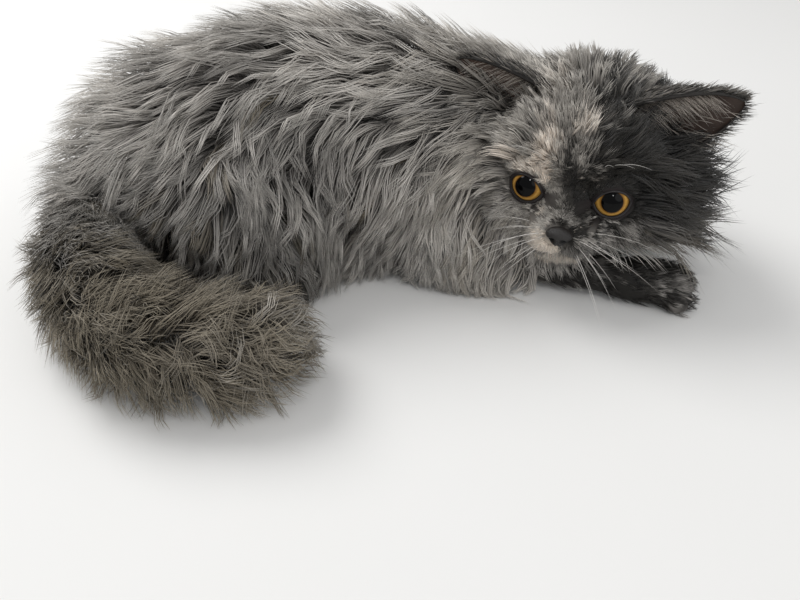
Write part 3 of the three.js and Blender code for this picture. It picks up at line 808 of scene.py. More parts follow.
OUTLINE = eye_outline()


def outline_distance(points):
    """Signed distance from the outline, positive outside."""
    a, b = OUTLINE, np.roll(OUTLINE, -1, 0)
    ab = b - a
    out = np.empty(len(points))
    for here, q in chunks(points):
        q = q[:, None, :]
        t = np.clip(((q - a) * ab).sum(2) / (ab**2).sum(1), 0, 1)
        d = np.linalg.norm(q - a - ab * t[..., None], axis=2).min(1)
        level = q[..., 1]
        spans = (a[:, 1] > level) != (b[:, 1] > level)
        edge = ab[:, 0] * (level - a[:, 1]) / (ab[:, 1] + 1e-12) + a[:, 0]
        inside = (spans & (q[..., 0] < edge)).sum(1) % 2 == 1
        out[here] = np.where(inside, -d, d)
    return out


def in_eye(q, side):
    """Points of the head's frame in the frame of one eye, with the cat's outer side along +y."""
    m = np.array(eye_frame(side).inverted())
    e = q @ m[:3, :3].T + m[:3, 3]
    e[:, 1] *= side
    return e


def from_eye(e, side):
    m = np.array(eye_frame(side))
    e = e * np.array([1, side, 1])
    return e @ m[:3, :3].T + m[:3, 3]


def line_distance(q, line):
    best = np.full(len(q), 1e9)
    for a, b in zip(line[:-1], line[1:]):
        ab = b - a
        t = np.clip(((q - a) @ ab) / (ab @ ab), 0, 1)
        best = np.minimum(best, np.linalg.norm(q - a - t[:, None] * ab, axis=1))
    return best


def folded(q):
    """Points of the head's frame, with those of the right side mirrored to the left."""
    return np.c_[q[:, 0], np.abs(q[:, 1]), q[:, 2]]


def lip_distance(q):
    return np.minimum(line_distance(folded(q), LIP_LINE), line_distance(q, PHILTRUM))


def bell(x):
    return np.exp(-(x**2))


def sculpt(p):
    """Mouth, cheek folds, stop of the nose, lids and sockets, on the skin of the head."""
    q = to_head(p)
    face = q[:, 0] > 5
    n = unit(normals(p, 0.8)) @ HEAD_M[:3, :3]
    lips = lip_distance(q)
    dent = LIP_DENT[0] * bell(lips / LIP_DENT[1]) * face
    dent += FOLD_DENT[0] * bell(line_distance(folded(q), CHEEK_FOLD) / FOLD_DENT[1]) * face
    dent += STOP_DEPTH * bell(radii_out(q, STOP_AT, STOP_RADII)) * face
    q = q - n * dent[:, None]
    bare = bell(lips / 1.1) * face * 0.9
    for side in (1, -1):
        e = in_eye(q, side)
        r = np.linalg.norm(e, axis=1)
        toward = e / np.maximum(r, 1e-6)[:, None]
        s = outline_distance(toward[:, 1:] * EYE_R)
        near = (toward[:, 0] > 0.1) & (r < EYE_R + SOCKET_REACH) & face
        lid = EYE_R + LID * np.exp(-np.maximum(s, 0) / LID_THINS)
        over = np.maximum(r, lid)
        steepest = lid + np.maximum(s, 0) * LID_SLOPE
        over = np.where(s < LID_NEAR, np.minimum(over, steepest), over)
        # Skin over the opening goes behind the ball.
        t = smooth_step(s, -0.9, 0.5)
        wanted = np.where(s > LID_REACH, r, (EYE_R - OPENING_DEPTH) * (1 - t) + over * t)
        e = np.where(near[:, None], toward * wanted[:, None], e)
        bare = np.where(near, np.maximum(bare, 1 - smooth_step(s, 0.3, 1.5)), bare)
        q = from_eye(e, side)
    return from_head(q), bare


def refine_face(ob, p):
    bm = bmesh.new()
    bm.from_mesh(ob.data)
    bm.verts.ensure_lookup_table()
    q = to_head(p)
    fine = (q[:, 0] > FACE_FRONT) & (np.linalg.norm(q - np.array(FACE_MIDDLE), axis=1) < FACE_R)
    edges = [e for e in bm.edges if fine[e.verts[0].index] and fine[e.verts[1].index]]
    bmesh.ops.subdivide_edges(bm, edges=edges, cuts=1, use_grid_fill=True)
    bmesh.ops.triangulate(bm, faces=[f for f in bm.faces if len(f.verts) > 4])
    bm.to_mesh(ob.data)
    bm.free()


def make_skin():
    ob = join_forms()
    p = to_surface(vertices_of(ob), 3)
    set_vertices(ob, p)
    refine_face(ob, p)
    edges = np.empty(len(ob.data.edges) * 2, np.int64)
    ob.data.edges.foreach_get("vertices", edges)
    p = to_surface(relax(vertices_of(ob), edges.reshape(-1, 2), 3), 2)
    p, bare = sculpt(p)
    p[:, 2] = np.maximum(p[:, 2], SKIN_FLOOR)
    set_vertices(ob, p)
    give(ob, "root", metres(p))
    give(ob, "tone", tones(p))
    # Skin that shows is coloured as hair a little way from its root, a little darker than the coat:
    # painted shade under the hair
    give(ob, "along", np.full(len(p), 0.3))
    give(ob, "shade", np.full(len(p), 0.45))
    give(ob, "bare", bare)
    ob.data.polygons.foreach_set("use_smooth", np.ones(len(ob.data.polygons), bool))
    ob.data.materials.append(skin_material())
    others = ("nose", "eye_left", "eye_right", "ear_left", "ear_right")
    return settle(ob, "body_fur", *[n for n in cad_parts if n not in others])


skin = make_skin()

# A strand's depth as a share of its width, and where along it is the widest
STRAND_DEPTH = 0.42
FULLEST = 0.35
HAIR_FLOOR = 0.6
HANGING_FLOOR = 0.7
HANGING_SPREAD = 1.2
ROOT_DEPTH = 0.4
# How far along its waves a strand of long hair gets, and how early it rises to its full height
WAVE_ANGLE = 4.4
RISE_POWER = 0.75
# The steepest a strand climbs or falls against the flesh, as shares of its step
STEEPEST_UP = 0.92
STEEPEST_DOWN = 0.75
# The share of its length that is left to a strand which would cross a room
SHORTENED = 0.42
# Rooms in the head's frame (centre, radii) that long hair stays out of: each ear's opening, and,
# for hair rooted off the head, the face
EAR_ROOMS = [((12, side * 52, 36), (12, 19, 17)) for side in (1, -1)]
FACE_ROOM = ((44, 0, -6), (32, 38, 40))


def strands_mesh(points, side, up, width):
    """Closed tapered strands: points is strands x steps x 3, side and up alike, width strands x steps."""
    count, steps, _ = points.shape
    rings = steps - 1
    p, s, u, w = points[:, :rings], side[:, :rings], up[:, :rings], width[:, :rings, None]
    ring = np.stack([p - s * w / 2, p + s * w / 2, p + u * w * STRAND_DEPTH], 2)
    verts = np.concatenate([ring.reshape(count, rings * 3, 3), points[:, -1:]], 1)
    per = rings * 3 + 1
    tris = [(0, 1, 2)]
    for k in range(rings - 1):
        a = 3 * k
        for i in range(3):
            j = (i + 1) % 3
            tris += [(a + i, a + 3 + i, a + 3 + j), (a + i, a + 3 + j, a + j)]
    a = 3 * (rings - 1)
    for i in range(3):
        tris.append((a + i, a + 3, a + (i + 1) % 3))
    tris = (np.arange(count)[:, None, None] * per + np.array(tris)[None]).reshape(-1, 3)
    along = np.append(np.repeat(np.arange(rings) / rings, 3), 1.0)
    across = np.append(np.tile([0.0, 1.0, 0.5], rings), 0.5)
    return verts.reshape(-1, 3), tris, along, across, per


def strand_object(name, paths, width, root, tone, shade, matter):
    """Strands as one object, with what the coat's colour needs of each of them."""
    verts, tris, along, across, per = strands_mesh(*paths, width)
    ob = triangle_object(name, verts, outward(verts, tris))
    strand = np.repeat(np.arange(len(root)), per)
    along, across = np.tile(along, len(root)), np.tile(across, len(root))
    give(ob, "root", metres(root)[strand])
    give(ob, "tone", tone[strand])
    give(ob, "along", along)
    give(ob, "shade", shade[strand])
    bake_map(ob, bake_places(root)[strand] + PATCH * np.c_[across, along])
    ob.data.materials.append(matter)
    return ob


class Ground:
    """The skin's triangles, from which roots are drawn."""

    def __init__(self, ob):
        ob.data.calc_loop_triangles()
        tris = np.empty(len(ob.data.loop_triangles) * 3, np.int32)
        ob.data.loop_triangles.foreach_get("vertices", tris)
        p = vertices_of(ob)
        self.corners = [p[tris[k::3]] for k in range(3)]
        a, b, c = self.corners
        cross = np.cross(b - a, c - a)
        self.area = np.linalg.norm(cross, axis=1) / 2
        self.normal = unit(cross)
        self.middle = p[tris.reshape(-1, 3)].mean(1)

    def draw(self, weight, count):
        """Places on the triangles, drawn by their area and weight, with the normals there."""
        chance = self.area * weight
        pick = rng.choice(len(chance), count, p=chance / chance.sum())
        r1, r2 = np.sqrt(rng.random(count))[:, None], rng.random(count)[:, None]
        a, b, c = (corner[pick] for corner in self.corners)
        return (1 - r1) * a + (r1 * (1 - r2)) * b + (r1 * r2) * c, self.normal[pick]


ground = Ground(skin)


def at_roots(measure, root):
    """A measure of the hair, which is one number or a function of the roots."""
    return measure(root) if callable(measure) else measure


def grow(root, length, rise, sideways, tuft, steps, skirt, fall=0.0, sag=0.0, wander=0.2, wave=0.35):
    """Hair paths over the flesh, following the lie of the coat. Returns points, sides and ups.

    Below the skirt's height the flesh counts as an upright wall, so that the hair hangs to the floor.
    """
    p = root.copy()
    points, sides, ups = [], [], []
    ds = length / (steps - 1)
    turn = sideways + 0.3 * blotch(root, 60, 11) + 0.16 * blotch(root, 30, 12)
    phase = 3 * blotch(root, 70, 13)
    tufts = tuft.max() + 1
    droop = at_roots(sag, root)
    own = np.clip(field(root)[0], 0, 4)
    for k in range(steps):
        sensed = p.copy()
        sensed[:, 2] = np.maximum(sensed[:, 2], skirt)
        height, n, _, way = field(sensed)
        way = way - np.outer(fall * (1 - np.clip(n[:, 2], 0, 1)), (0, 0, 1))
        tangent = unit(way - (way * n).sum(1)[:, None] * n)
        across = np.cross(n, tangent)
        swing = turn + wave * np.sin(WAVE_ANGLE * k / (steps - 1) + phase)
        ahead = tangent * np.cos(swing)[:, None] + across * np.sin(swing)[:, None]
        target = own + rise * ((k + 1) / (steps - 1)) ** RISE_POWER
        climb = np.clip(target - height, -STEEPEST_DOWN * ds, STEEPEST_UP * ds)
        level = np.sqrt(np.maximum(ds**2 - climb**2, 0))
        step = ahead * level[:, None] + n * climb[:, None]
        step[:, 2] -= droop * ds * (k / steps)
        points.append(p.copy())
        sides.append(unit(np.cross(step, n)))
        ups.append(unit(np.cross(sides[-1], step)))
        p = p + step
        p[:, 2] = np.maximum(p[:, 2], HANGING_FLOOR + HANGING_SPREAD * (k / steps))
        turn = turn + rng.normal(0, wander, tufts)[tuft] + rng.normal(0, wander * 0.5, len(p))
    return np.stack(points, 1), np.stack(sides, 1), np.stack(ups, 1)


def grow_short(root, normal, length, lift, sideways, steps):
    """Short hair that leans over the skin's own surface, with the coat's lie."""
    way = field(root)[3]
    tangent = unit(way - (way * normal).sum(1)[:, None] * normal)
    across = np.cross(normal, tangent)
    cos, sin = np.cos(sideways)[:, None], np.sin(sideways)[:, None]
    ahead, aside = tangent * cos + across * sin, across * cos - tangent * sin
    p = root - normal * ROOT_DEPTH
    points, ups = [], []
    for k in range(steps):
        rise = lift * (1.25 - 0.5 * k / (steps - 1))
        step = ahead * np.cos(rise)[:, None] + normal * np.sin(rise)[:, None]
        points.append(p.copy())
        ups.append(unit(np.cross(step, aside)))
        p = p + step * (length / (steps - 1))[:, None]
        p[:, 2] = np.maximum(p[:, 2], HAIR_FLOOR)
    return np.stack(points, 1), np.stack([aside] * steps, 1), np.stack(ups, 1)


def taper(steps):
    """The width of a strand at each step, as a share of its greatest."""
    u = np.arange(steps) / (steps - 1)
    return np.where(u < FULLEST, 0.7 + 0.3 * u / FULLEST, ((1 - u) / (1 - FULLEST)) ** 0.75)


def crosses(points, rooms):
    """Which strands pass through one of the rooms."""
    q = to_head(points.reshape(-1, 3)).reshape(points.shape)
    hit = np.zeros(len(points), bool)
    for at, r in rooms:
        off = (q - np.array(at, float)) / np.array(r, float)
        hit |= ((off**2).sum(2) < 1).any(1)
    return hit


def coat_piece(
    name, slot, nodes, weight, tufts, *, length, width, matter, each, steps, rise=0.0, lift=None,
    spread=2.6, turn=0.2, clump=0.78, rooms=(), **growth,
):
    """One piece of the coat: tufts of strands that share a root and lean together at the tips.

    Long hair has a rise, the height of its tips over the flesh; short hair has a lift, the angle it
    stands at. Length and rise may be functions of the roots.
    """
    root, skin_normal = ground.draw(weight, tufts)
    middle_turn = rng.normal(0, turn, tufts)
    tuft = np.repeat(np.arange(tufts), each)
    count = tufts * each
    n = skin_normal[tuft]
    offset = rng.normal(0, spread / 2, (count, 3))
    at = root[tuft] + (offset - (offset * n).sum(1)[:, None] * n)
    long = at_roots(length, at) * rng.uniform(0.72, 1.12, count) * rng.uniform(0.82, 1.15, tufts)[tuft]
    high = at_roots(rise, at) * rng.uniform(0.62, 1.08, count) * rng.uniform(0.75, 1.12, tufts)[tuft]
    sideways = middle_turn[tuft] + rng.normal(0, turn * 0.45, count)
    if lift is None:
        points, sides, ups = grow(at, long, high, sideways, tuft, steps, **growth)
    else:
        leans = lift * rng.uniform(0.6, 1.4, count)
        points, sides, ups = grow_short(at, n, long, leans, sideways, steps)
    # The strands of a tuft lean towards the path of its middle.
    mean = points.reshape(tufts, each, steps, 3).mean(1)[tuft]
    u = (np.arange(steps) / (steps - 1))[None, :, None]
    points = points + (mean - points) * (clump * np.sin(np.minimum(u * 1.15, 1) * np.pi / 2) ** 2)
    points[:, :, 2] = np.maximum(points[:, :, 2], HAIR_FLOOR)
    wide = width * rng.uniform(0.75, 1.25, count)[:, None] * taper(steps)[None]
    crossing = crosses(points, rooms)
    start = points[crossing, :1]
    points[crossing] = start + (points[crossing] - start) * SHORTENED
    tone = tones(root, rng.normal(0, 0.16, tufts))[tuft]
    shade = (shades(root) + rng.normal(0, 0.17, tufts))[tuft] + rng.normal(0, 0.1, count)
    paths = points, sides, ups
    ob = strand_object(name, paths, wide, root[tuft], tone, np.clip(shade, 0, 1), matter)
    return settle(ob, slot, *nodes)


part, middle, head = nearest_part(ground.middle)[0], ground.middle, to_head(ground.middle)
round_of = head_round(head)
is_head = part == HEAD_PART


def on(*names):
    """Which triangles of the skin are on the named limbs."""
    return np.isin(part, [LIMB_NAMES.index(n) for n in names])


def eye_gaps():
    """0 on the openings of the eyes and their margins, 1 elsewhere on the skin."""
    gap = np.ones(len(middle))
    for side in (1, -1):
        e = in_eye(head, side)
        near = (e[:, 0] > 0) & (np.linalg.norm(e, axis=1) < EYE_R + 12)
        s = np.where(near, outline_distance(unit(e)[:, 1:] * EYE_R), 9.0)
        gap *= smooth_step(s, 0.6, 1.6)
    return gap


# Shares of the tufts that places get: fewer on the underside, none on what stays bare
under = smooth_step(middle[:, 2], 3, 22)
lip_gap = smooth_step(lip_distance(head), 0.9, 2.0)
nose_gap = smooth_step(radii_out(head, NOSE_AT, (8, 8.5, 7.5)), 0.85, 1.05)
ear_gap = np.ones(len(middle))
for side in (1, -1):
    ear_gap *= smooth_step(radii_out(head, (-2, side * 33, 26), (9, 13, 12)), 0.6, 1.0)
short_face = is_head * (eye_gaps() * lip_gap * nose_gap) * ear_gap


def depth_of(share):
    return lambda at: field(at)[2] * share


RUMP_AT = (-150, 50, 100)
RUMP_RADII = (50, 70, 60)
LEFT_CHEEK_AT = (2, 42, -14)
LEFT_CHEEK_RADII = (34, 24, 22)
BODY_RISE = 1.15


def fluffed(at):
    """The coat's depth, deeper over the top of the rump and flatter on the far flank."""
    rump = 1 + 0.55 * (1 - smooth_step(radii_out(at, RUMP_AT, RUMP_RADII), 0.4, 1.3))
    flank = 1 - 0.36 * smooth_step(at[:, 1], 84, 116)
    return field(at)[2] * BODY_RISE * rump * flank


def face_length(at):
    """Short on the muzzle and round the eyes, longer towards the back of the head."""
    q = to_head(at)
    r = head_round(q)
    long = 4.4 + 7 * smooth_step(r, 24, 60) + 8 * smooth_step(r, 55, 80)
    eyes = np.full(len(at), 9.0)
    for side in (1, -1):
        eyes = np.minimum(eyes, np.linalg.norm(in_eye(q, side) / EYE_R, axis=1) / 2.2)
    return long * np.clip(eyes, 0.6, 1)


def low_on_head(q):
    return 1 - smooth_step(q[:, 2], 6, 34)


def low_left_cheek(q):
    """How near a place is to the lower side of the left cheek, whose hair hangs to the floor."""
    return 1 - smooth_step(radii_out(q, LEFT_CHEEK_AT, LEFT_CHEEK_RADII), 0.4, 1.3)


def ruff_length(at):
    q = to_head(at)
    r = head_round(q)
    cheeks = 36 * smooth_step(r, 56, 80) * low_on_head(q)
    return 10 * low_left_cheek(q) + 17 + cheeks + 8 * smooth_step(r, 84, 120)


def ruff_rise(at):
    q = to_head(at)
    r = head_round(q)
    cheeks = 28 * smooth_step(r, 56, 78) * low_on_head(q)
    return 12 * low_left_cheek(q) + 16 + cheeks + 3 * smooth_step(r, 90, 130)


def ruff_sag(at):
    q = to_head(at)
    return 0.2 + 0.9 * smooth_step(-q[:, 2], -2, 20) * (1 - 0.75 * low_left_cheek(q))


# Long hair has nine strands to a tuft, short hair six. Long hair off the head stays out of its rooms.
LONG_HAIR = {"matter": hair_material("body_hair", 0.55, 0.15), "each": 9, "steps": 5}
FACE_HAIR = hair_material("face_hair", 0.6, 0.1)
SHORT_HAIR = {"matter": FACE_HAIR, "each": 6, "steps": 3}
OFF_HEAD = {**LONG_HAIR, "rooms": [*EAR_ROOMS, FACE_ROOM]}
# Where the coat of the body and of the tail is parted in two pieces, along x and along y
BODY_MIDDLE = -40
TAIL_MIDDLE = -30

body = on("torso") * under
rear, fore = body * (middle[:, 0] < BODY_MIDDLE), body * (middle[:, 0] >= BODY_MIDDLE)
for name, weight, tufts in (("coat_body_1", rear, 900), ("coat_body_2", fore, 940)):
    coat_piece(
        name, "body_fur", ("rump", "abdomen"), weight, tufts, **OFF_HEAD,
        length=56.0, width=0.8, rise=fluffed,
        turn=0.13, sag=0.1, skirt=52.0, fall=0.8, wander=0.13, wave=0.45,
    )
coat_piece(
    "coat_neck", "body_fur", ("neck", "chest"), on("neck", "breast") * under, 860, **OFF_HEAD,
    length=48.0, width=0.9, rise=depth_of(1.2),
    turn=0.13, sag=0.15, skirt=34.0, fall=0.4, wander=0.13, wave=0.4,
)
thighs = ("thigh_right", "thigh_left")
coat_piece(
    "coat_thighs", "body_fur", thighs, on(*thighs) * under, 800, **LONG_HAIR,
    length=46.0, width=0.9, rise=depth_of(1.15),
    turn=0.14, sag=0.15, skirt=46.0, fall=0.5, wander=0.14, wave=0.45,
)
tail = on("tail") * (0.4 + 0.6 * under)
base, tip = tail * (middle[:, 1] > TAIL_MIDDLE), tail * (middle[:, 1] <= TAIL_MIDDLE)
for name, weight, tufts in (("coat_tail_1", base, 540), ("coat_tail_2", tip, 600)):
    coat_piece(
        name, "tail_fur", ("tail_base", "tail_middle", "tail_tip"), weight, tufts, **LONG_HAIR,
        length=42.0, width=0.8, rise=depth_of(1.45),
        turn=0.45, clump=0.6, skirt=26.0, wander=0.34,
    )
coat_piece(
    "coat_ruff", "face_fur", ("head",), is_head * (round_of > 62) * ear_gap, 900, **LONG_HAIR,
    length=ruff_length, width=0.8, rise=ruff_rise,
    rooms=EAR_ROOMS, clump=0.55, sag=ruff_sag, skirt=58.0,
)
muzzle = short_face * (round_of <= 44) * (1 + 1.2 * (round_of < 28))
coat_piece(
    "coat_muzzle", "face_fur", ("head",), muzzle, 3000, **SHORT_HAIR,
    length=face_length, width=0.4, lift=0.34, spread=1.2, clump=0.3,
)
brow = short_face * (round_of > 42) * (round_of <= 74)
coat_piece(
    "coat_brow", "face_fur", ("head",), brow, 2300, **SHORT_HAIR,
    length=face_length, width=0.42, lift=0.42, spread=1.5, turn=0.22, clump=0.3,
)
leg_names = [n for n in LIMB_NAMES if "leg" in n or "paw" in n]
leg_nodes = [
    limb + side
    for limb in ("foreleg", "hindleg", "forepaw", "hindpaw")
    for side in ("_right", "_left")
]
legs = on(*leg_names) * (0.2 + 0.8 * under) * (1 + 1.5 * (middle[:, 0] > 130))
coat_piece(
    "coat_legs", "leg_fur", leg_nodes, legs, 1500, **SHORT_HAIR,
    length=8.5, width=0.5, lift=0.3, spread=1.8, clump=0.4,
)


def grid_tris(rows, columns, ring=False):
    """Triangles of a grid wrapped round across its columns, and in a ring across its rows too."""
    tris = []
    for i in range(rows if ring else rows - 1):
        for j in range(columns):
            a, b = i * columns + j, i * columns + (j + 1) % columns
            c, d = ((corner + columns) % (rows * columns) for corner in (a, b))
            tris += [(a, c, d), (a, d, b)]
    return tris


def capped(verts, rows, columns, first, last):
    """A closed form from rings of vertices and a point at each end."""
    tris = grid_tris(rows, columns)
    n = rows * columns
    base = n - columns
    for j in range(columns):
        k = (j + 1) % columns
        tris.append((n, j, k))
        tris.append((n + 1, base + k, base + j))
    return np.vstack([verts, first, last]), np.array(tris)


def ball_rings(rows, columns):
    """Directions in rings about the x axis, each with its angle from it, the two ends left out."""
    for i in range(rows):
        a = math.pi * (i + 1) / (rows + 1)
        for j in range(columns):
            b = 2 * math.pi * j / columns
            yield a, np.array([math.cos(a), math.sin(a) * math.cos(b), math.sin(a) * math.sin(b)])


EYE_ROWS = 40
EYE_COLUMNS = 56
CORNEA = 0.9
CORNEA_ANGLE = 0.62
PUPIL = 5.7
IRIS = 9.2
# Where each eye looks from its socket's axis, in degrees: to the cat's left, and up
GAZE = {1: (-4.0, 10.0), -1: (4.0, 9.0)}


def gaze(side):
    """Turns a point of the eye's frame to one whose x axis is the line of sight."""
    left, up = GAZE[side]
    turn = Matrix.Rotation(math.radians(left), 3, "Z") @ Matrix.Rotation(math.radians(-up), 3, "Y")
    return np.array(turn)


def eye_material():
    made, make = material("eye")
    parts = make("SeparateXYZ", {0: attribute(make, "eye", "Vector")}).outputs
    flat = make("CombineXYZ", {"X": parts["Y"], "Y": parts["Z"]}).outputs[0]
    radius = make("VectorMath", {0: flat}, operation="LENGTH").outputs["Value"]
    rays = make("VectorMath", {0: flat}, operation="NORMALIZE").outputs[0]
    amber = mix(make, noise(make, rays, 9.0, 4.0), rgb(160, 112, 50), rgb(222, 178, 98))
    amber = mix(make, noise(make, flat, 0.5, 3.0), amber, rgb(178, 134, 66))
    ring = mix(make, ramp(make, radius, IRIS - 2.0, IRIS), amber, rgb(46, 30, 18))
    inner = mix(make, ramp(make, radius, PUPIL - 0.2, PUPIL + 1.3), rgb(92, 58, 24), ring)
    colour = mix(make, ramp(make, radius, PUPIL - 0.25, PUPIL + 0.1), rgb(8, 8, 9), inner)
    colour = mix(make, ramp(make, radius, IRIS, IRIS + 0.6), colour, rgb(34, 26, 24))
    surface(make, colour, 0.6, 0.0, Coat_Weight=0.5, Coat_Roughness=0.03, Coat_IOR=1.33)
    return made


EYE_MATTER = eye_material()


def make_eye(side, name):
    """An eyeball with a bulging cornea."""
    verts = [
        direction * (EYE_R + CORNEA * math.exp(-((a / CORNEA_ANGLE) ** 4)))
        for a, direction in ball_rings(EYE_ROWS, EYE_COLUMNS)
    ]
    front, back = (EYE_R + CORNEA, 0, 0), (-EYE_R, 0, 0)
    verts, tris = capped(np.array(verts), EYE_ROWS, EYE_COLUMNS, front, back)
    m = EYES[side]
    ob = triangle_object(name, verts @ m[:3, :3].T + m[:3, 3], outward(verts, tris))
    give(ob, "eye", verts @ gaze(side))
    ob.data.materials.append(EYE_MATTER)
    return settle(ob, "eye", "eye_left" if side == 1 else "eye_right")


make_eye(1, "eyeball_left")
make_eye(-1, "eyeball_right")


def dark_skin(name, colour, low, roughness, pebbles, strength, fur=None):
    """Bare skin: two close colours in patches, a pebbled bump, and another colour where it isn't bare:
    dark fur on the ears, painted shade in the nostrils and in one ear's cup.
    """
    made, make = material(name)
    place = object_place(make)
    shade = mix(make, noise(make, place, 240.0, 3.0), low, colour)
    if fur:
        shade = mix(make, attribute(make, "bare", "Fac"), fur, shade)
    cells = make("TexVoronoi", {"Vector": place, "Scale": pebbles}).outputs["Distance"]
    surface(make, shade, roughness, 0.5, Normal=bump(make, cells, strength, 0.0004))
    return made


RIM_SKIN = dark_skin("lid_skin", rgb(34, 27, 27), rgb(18, 14, 15), 0.4, 1500.0, 0.3)
# The near black where the nose isn't bare is painted shade in the nostrils, passed as fur
NOSE_SKIN = dark_skin(
    "nose_skin", rgb(36, 32, 30), rgb(20, 17, 16), 0.45, 2100.0, 0.5, fur=rgb(6, 5, 5)
)
EAR_SKIN = dark_skin(
    "ear_skin", rgb(112, 92, 82), rgb(74, 60, 53), 0.6, 900.0, 0.25, fur=rgb(40, 37, 34)
)
RIM_SIDES = 8
RIM_LIFT = 0.5
RIM_HEIGHT = 0.75
RIM_WIDTH = 0.65


def make_lid_rims():
    """The dark margins of the lids, a ring round each opening that lies on the eyeball."""
    count = len(OUTLINE)
    up = np.c_[np.sqrt(np.maximum(EYE_R**2 - (OUTLINE**2).sum(1), 1.0)), OUTLINE]
    up = unit(up)
    out = np.cross(unit(np.roll(up, -1, 0) - np.roll(up, 1, 0)), up)
    verts = []
    for i in range(count):
        corner = 1 + 0.5 * bell((abs(OUTLINE[i, 0]) - EYE_WIDTH / 2) / 1.2)
        for j in range(RIM_SIDES):
            a = 2 * math.pi * j / RIM_SIDES
            height = EYE_R + RIM_LIFT + RIM_HEIGHT * math.sin(a)
            verts.append(up[i] * height + out[i] * RIM_WIDTH * corner * math.cos(a))
    tris = np.array(grid_tris(count, RIM_SIDES, ring=True))
    verts = np.array(verts)
    ob = merged("lid_rims", [(from_head(from_eye(verts, side)), tris) for side in (1, -1)])
    ob.data.materials.append(RIM_SKIN)
    return settle(ob, "face_fur", "head")


make_lid_rims()

NOSE_SIZE = np.array([5.0, 7.4, 5.6])
NOSE_ROWS = 44
NOSE_COLUMNS = 64
NOSTRIL_DEPTH = 3.0
NOSTRIL_RADII = np.array([1.6, 1.4])
SLIT_DEPTH = 1.4
SLIT_RADII = np.array([1.8, 0.7])
GROOVE_DEPTH = 0.8


def make_nose():
    """The nose leather: broad above, narrow below, with comma-shaped nostrils."""
    verts, bare = [], []
    for _, d in ball_rings(NOSE_ROWS, NOSE_COLUMNS):
        p = NOSE_SIZE * d * np.array([1, 0.55 + 0.5 * smooth_step(d[2], -0.9, 0.5), 1])
        pit = 0.0
        for side in (1, -1) if d[0] > 0.05 else ():
            hole = np.array([p[1] - side * 3.0, p[2] - 0.3 + 0.25 * abs(p[1])]) / NOSTRIL_RADII
            slit = np.array([p[1] - side * 4.8, p[2] + 0.5]) / SLIT_RADII
            hole, slit = math.exp(-((hole @ hole) ** 1.5)), math.exp(-(slit @ slit))
            p[0] -= NOSTRIL_DEPTH * hole + SLIT_DEPTH * slit
            pit += hole + slit
        p[0] -= GROOVE_DEPTH * bell(p[1] / 0.5) * (d[0] > 0) * smooth_step(-p[2], -1.5, 2.5)
        # The leather is bare except in the nostrils, which are painted near black: painted shade
        bare.append(max(1 - 1.2 * pit, 0))
        verts.append(NOSE_AT + p)
    half = np.array([NOSE_SIZE[0], 0, 0])
    ends = NOSE_AT + half, NOSE_AT - half
    verts, tris = capped(np.array(verts), NOSE_ROWS, NOSE_COLUMNS, *ends)
    ob = triangle_object("nose_leather", from_head(verts), outward(verts, tris))
    give(ob, "bare", np.r_[bare, 1, 1])
    ob.data.materials.append(NOSE_SKIN)
    return settle(ob, "nose_leather", "nose")


make_nose()

EAR_BASE = np.array([-2.0, 30.0, 24.0])
EAR_TIP = np.array([-4.0, 75.0, 47.0])
EAR_FACING = np.array([1.0, 0.25, -0.05])
EAR_WIDTH = 40.0
EAR_DEPTH = 15.0
EAR_WALL = 2.0
EAR_ROWS = 22
EAR_COLUMNS = 29
# The first row's height, as a share of the ear's, and how deep it goes into the head
EAR_FOOT = -0.12
EAR_ROOTED = 50


def ear_axes(side):
    """An ear's base and height, and its directions up, to the front and aside."""
    flip = np.array([1, side, 1.0])
    base, tip, facing = EAR_BASE * flip, EAR_TIP * flip, EAR_FACING * flip
    up = unit(tip - base)
    front = unit(facing - (facing @ up) * up)
    return base, np.linalg.norm(tip - base), up, front, np.cross(up, front)


def ear_section(side, t):
    """One cross-section of the ear's cup at height t, from its front edge round the back."""
    base, height, up, front, aside = ear_axes(side)
    half = EAR_WIDTH / 2 * (0.04 + 1.06 * (1 - t**2.1) ** 0.75)
    deep = EAR_DEPTH * (0.15 + 0.9 * (1 - t**1.5))
    points = []
    for k in range(EAR_COLUMNS):
        a = math.radians(-102 + 204 * k / (EAR_COLUMNS - 1))
        wide = half * math.sin(a) * (1 + 0.05 * math.sin(5 * a + 3 * t)) / math.sin(math.radians(100))
        back = deep * (math.cos(a) - 0.25)
        points.append(base + up * (height * t - 3 * (1 - t)) + aside * wide - front * back)
    return np.array(points)


def ear_walls(side):
    """The outer and inner faces of an ear's cup, as rows of points."""
    _, _, up, front, _ = ear_axes(side)
    outer, inner = [], []
    for i in range(EAR_ROWS):
        t = EAR_FOOT + (0.99 - EAR_FOOT) * (i / (EAR_ROWS - 1)) ** 0.9
        section = ear_section(side, max(t, 0)) + up * min(t, 0) * EAR_ROOTED
        inward = unit(section.mean(0) - section + front * 4)
        outer.append(section)
        inner.append(section + inward * EAR_WALL * (1 - 0.5 * max(t, 0)))
    return np.array(outer), np.array(inner)


EAR_WALLS = {side: ear_walls(side) for side in (1, -1)}


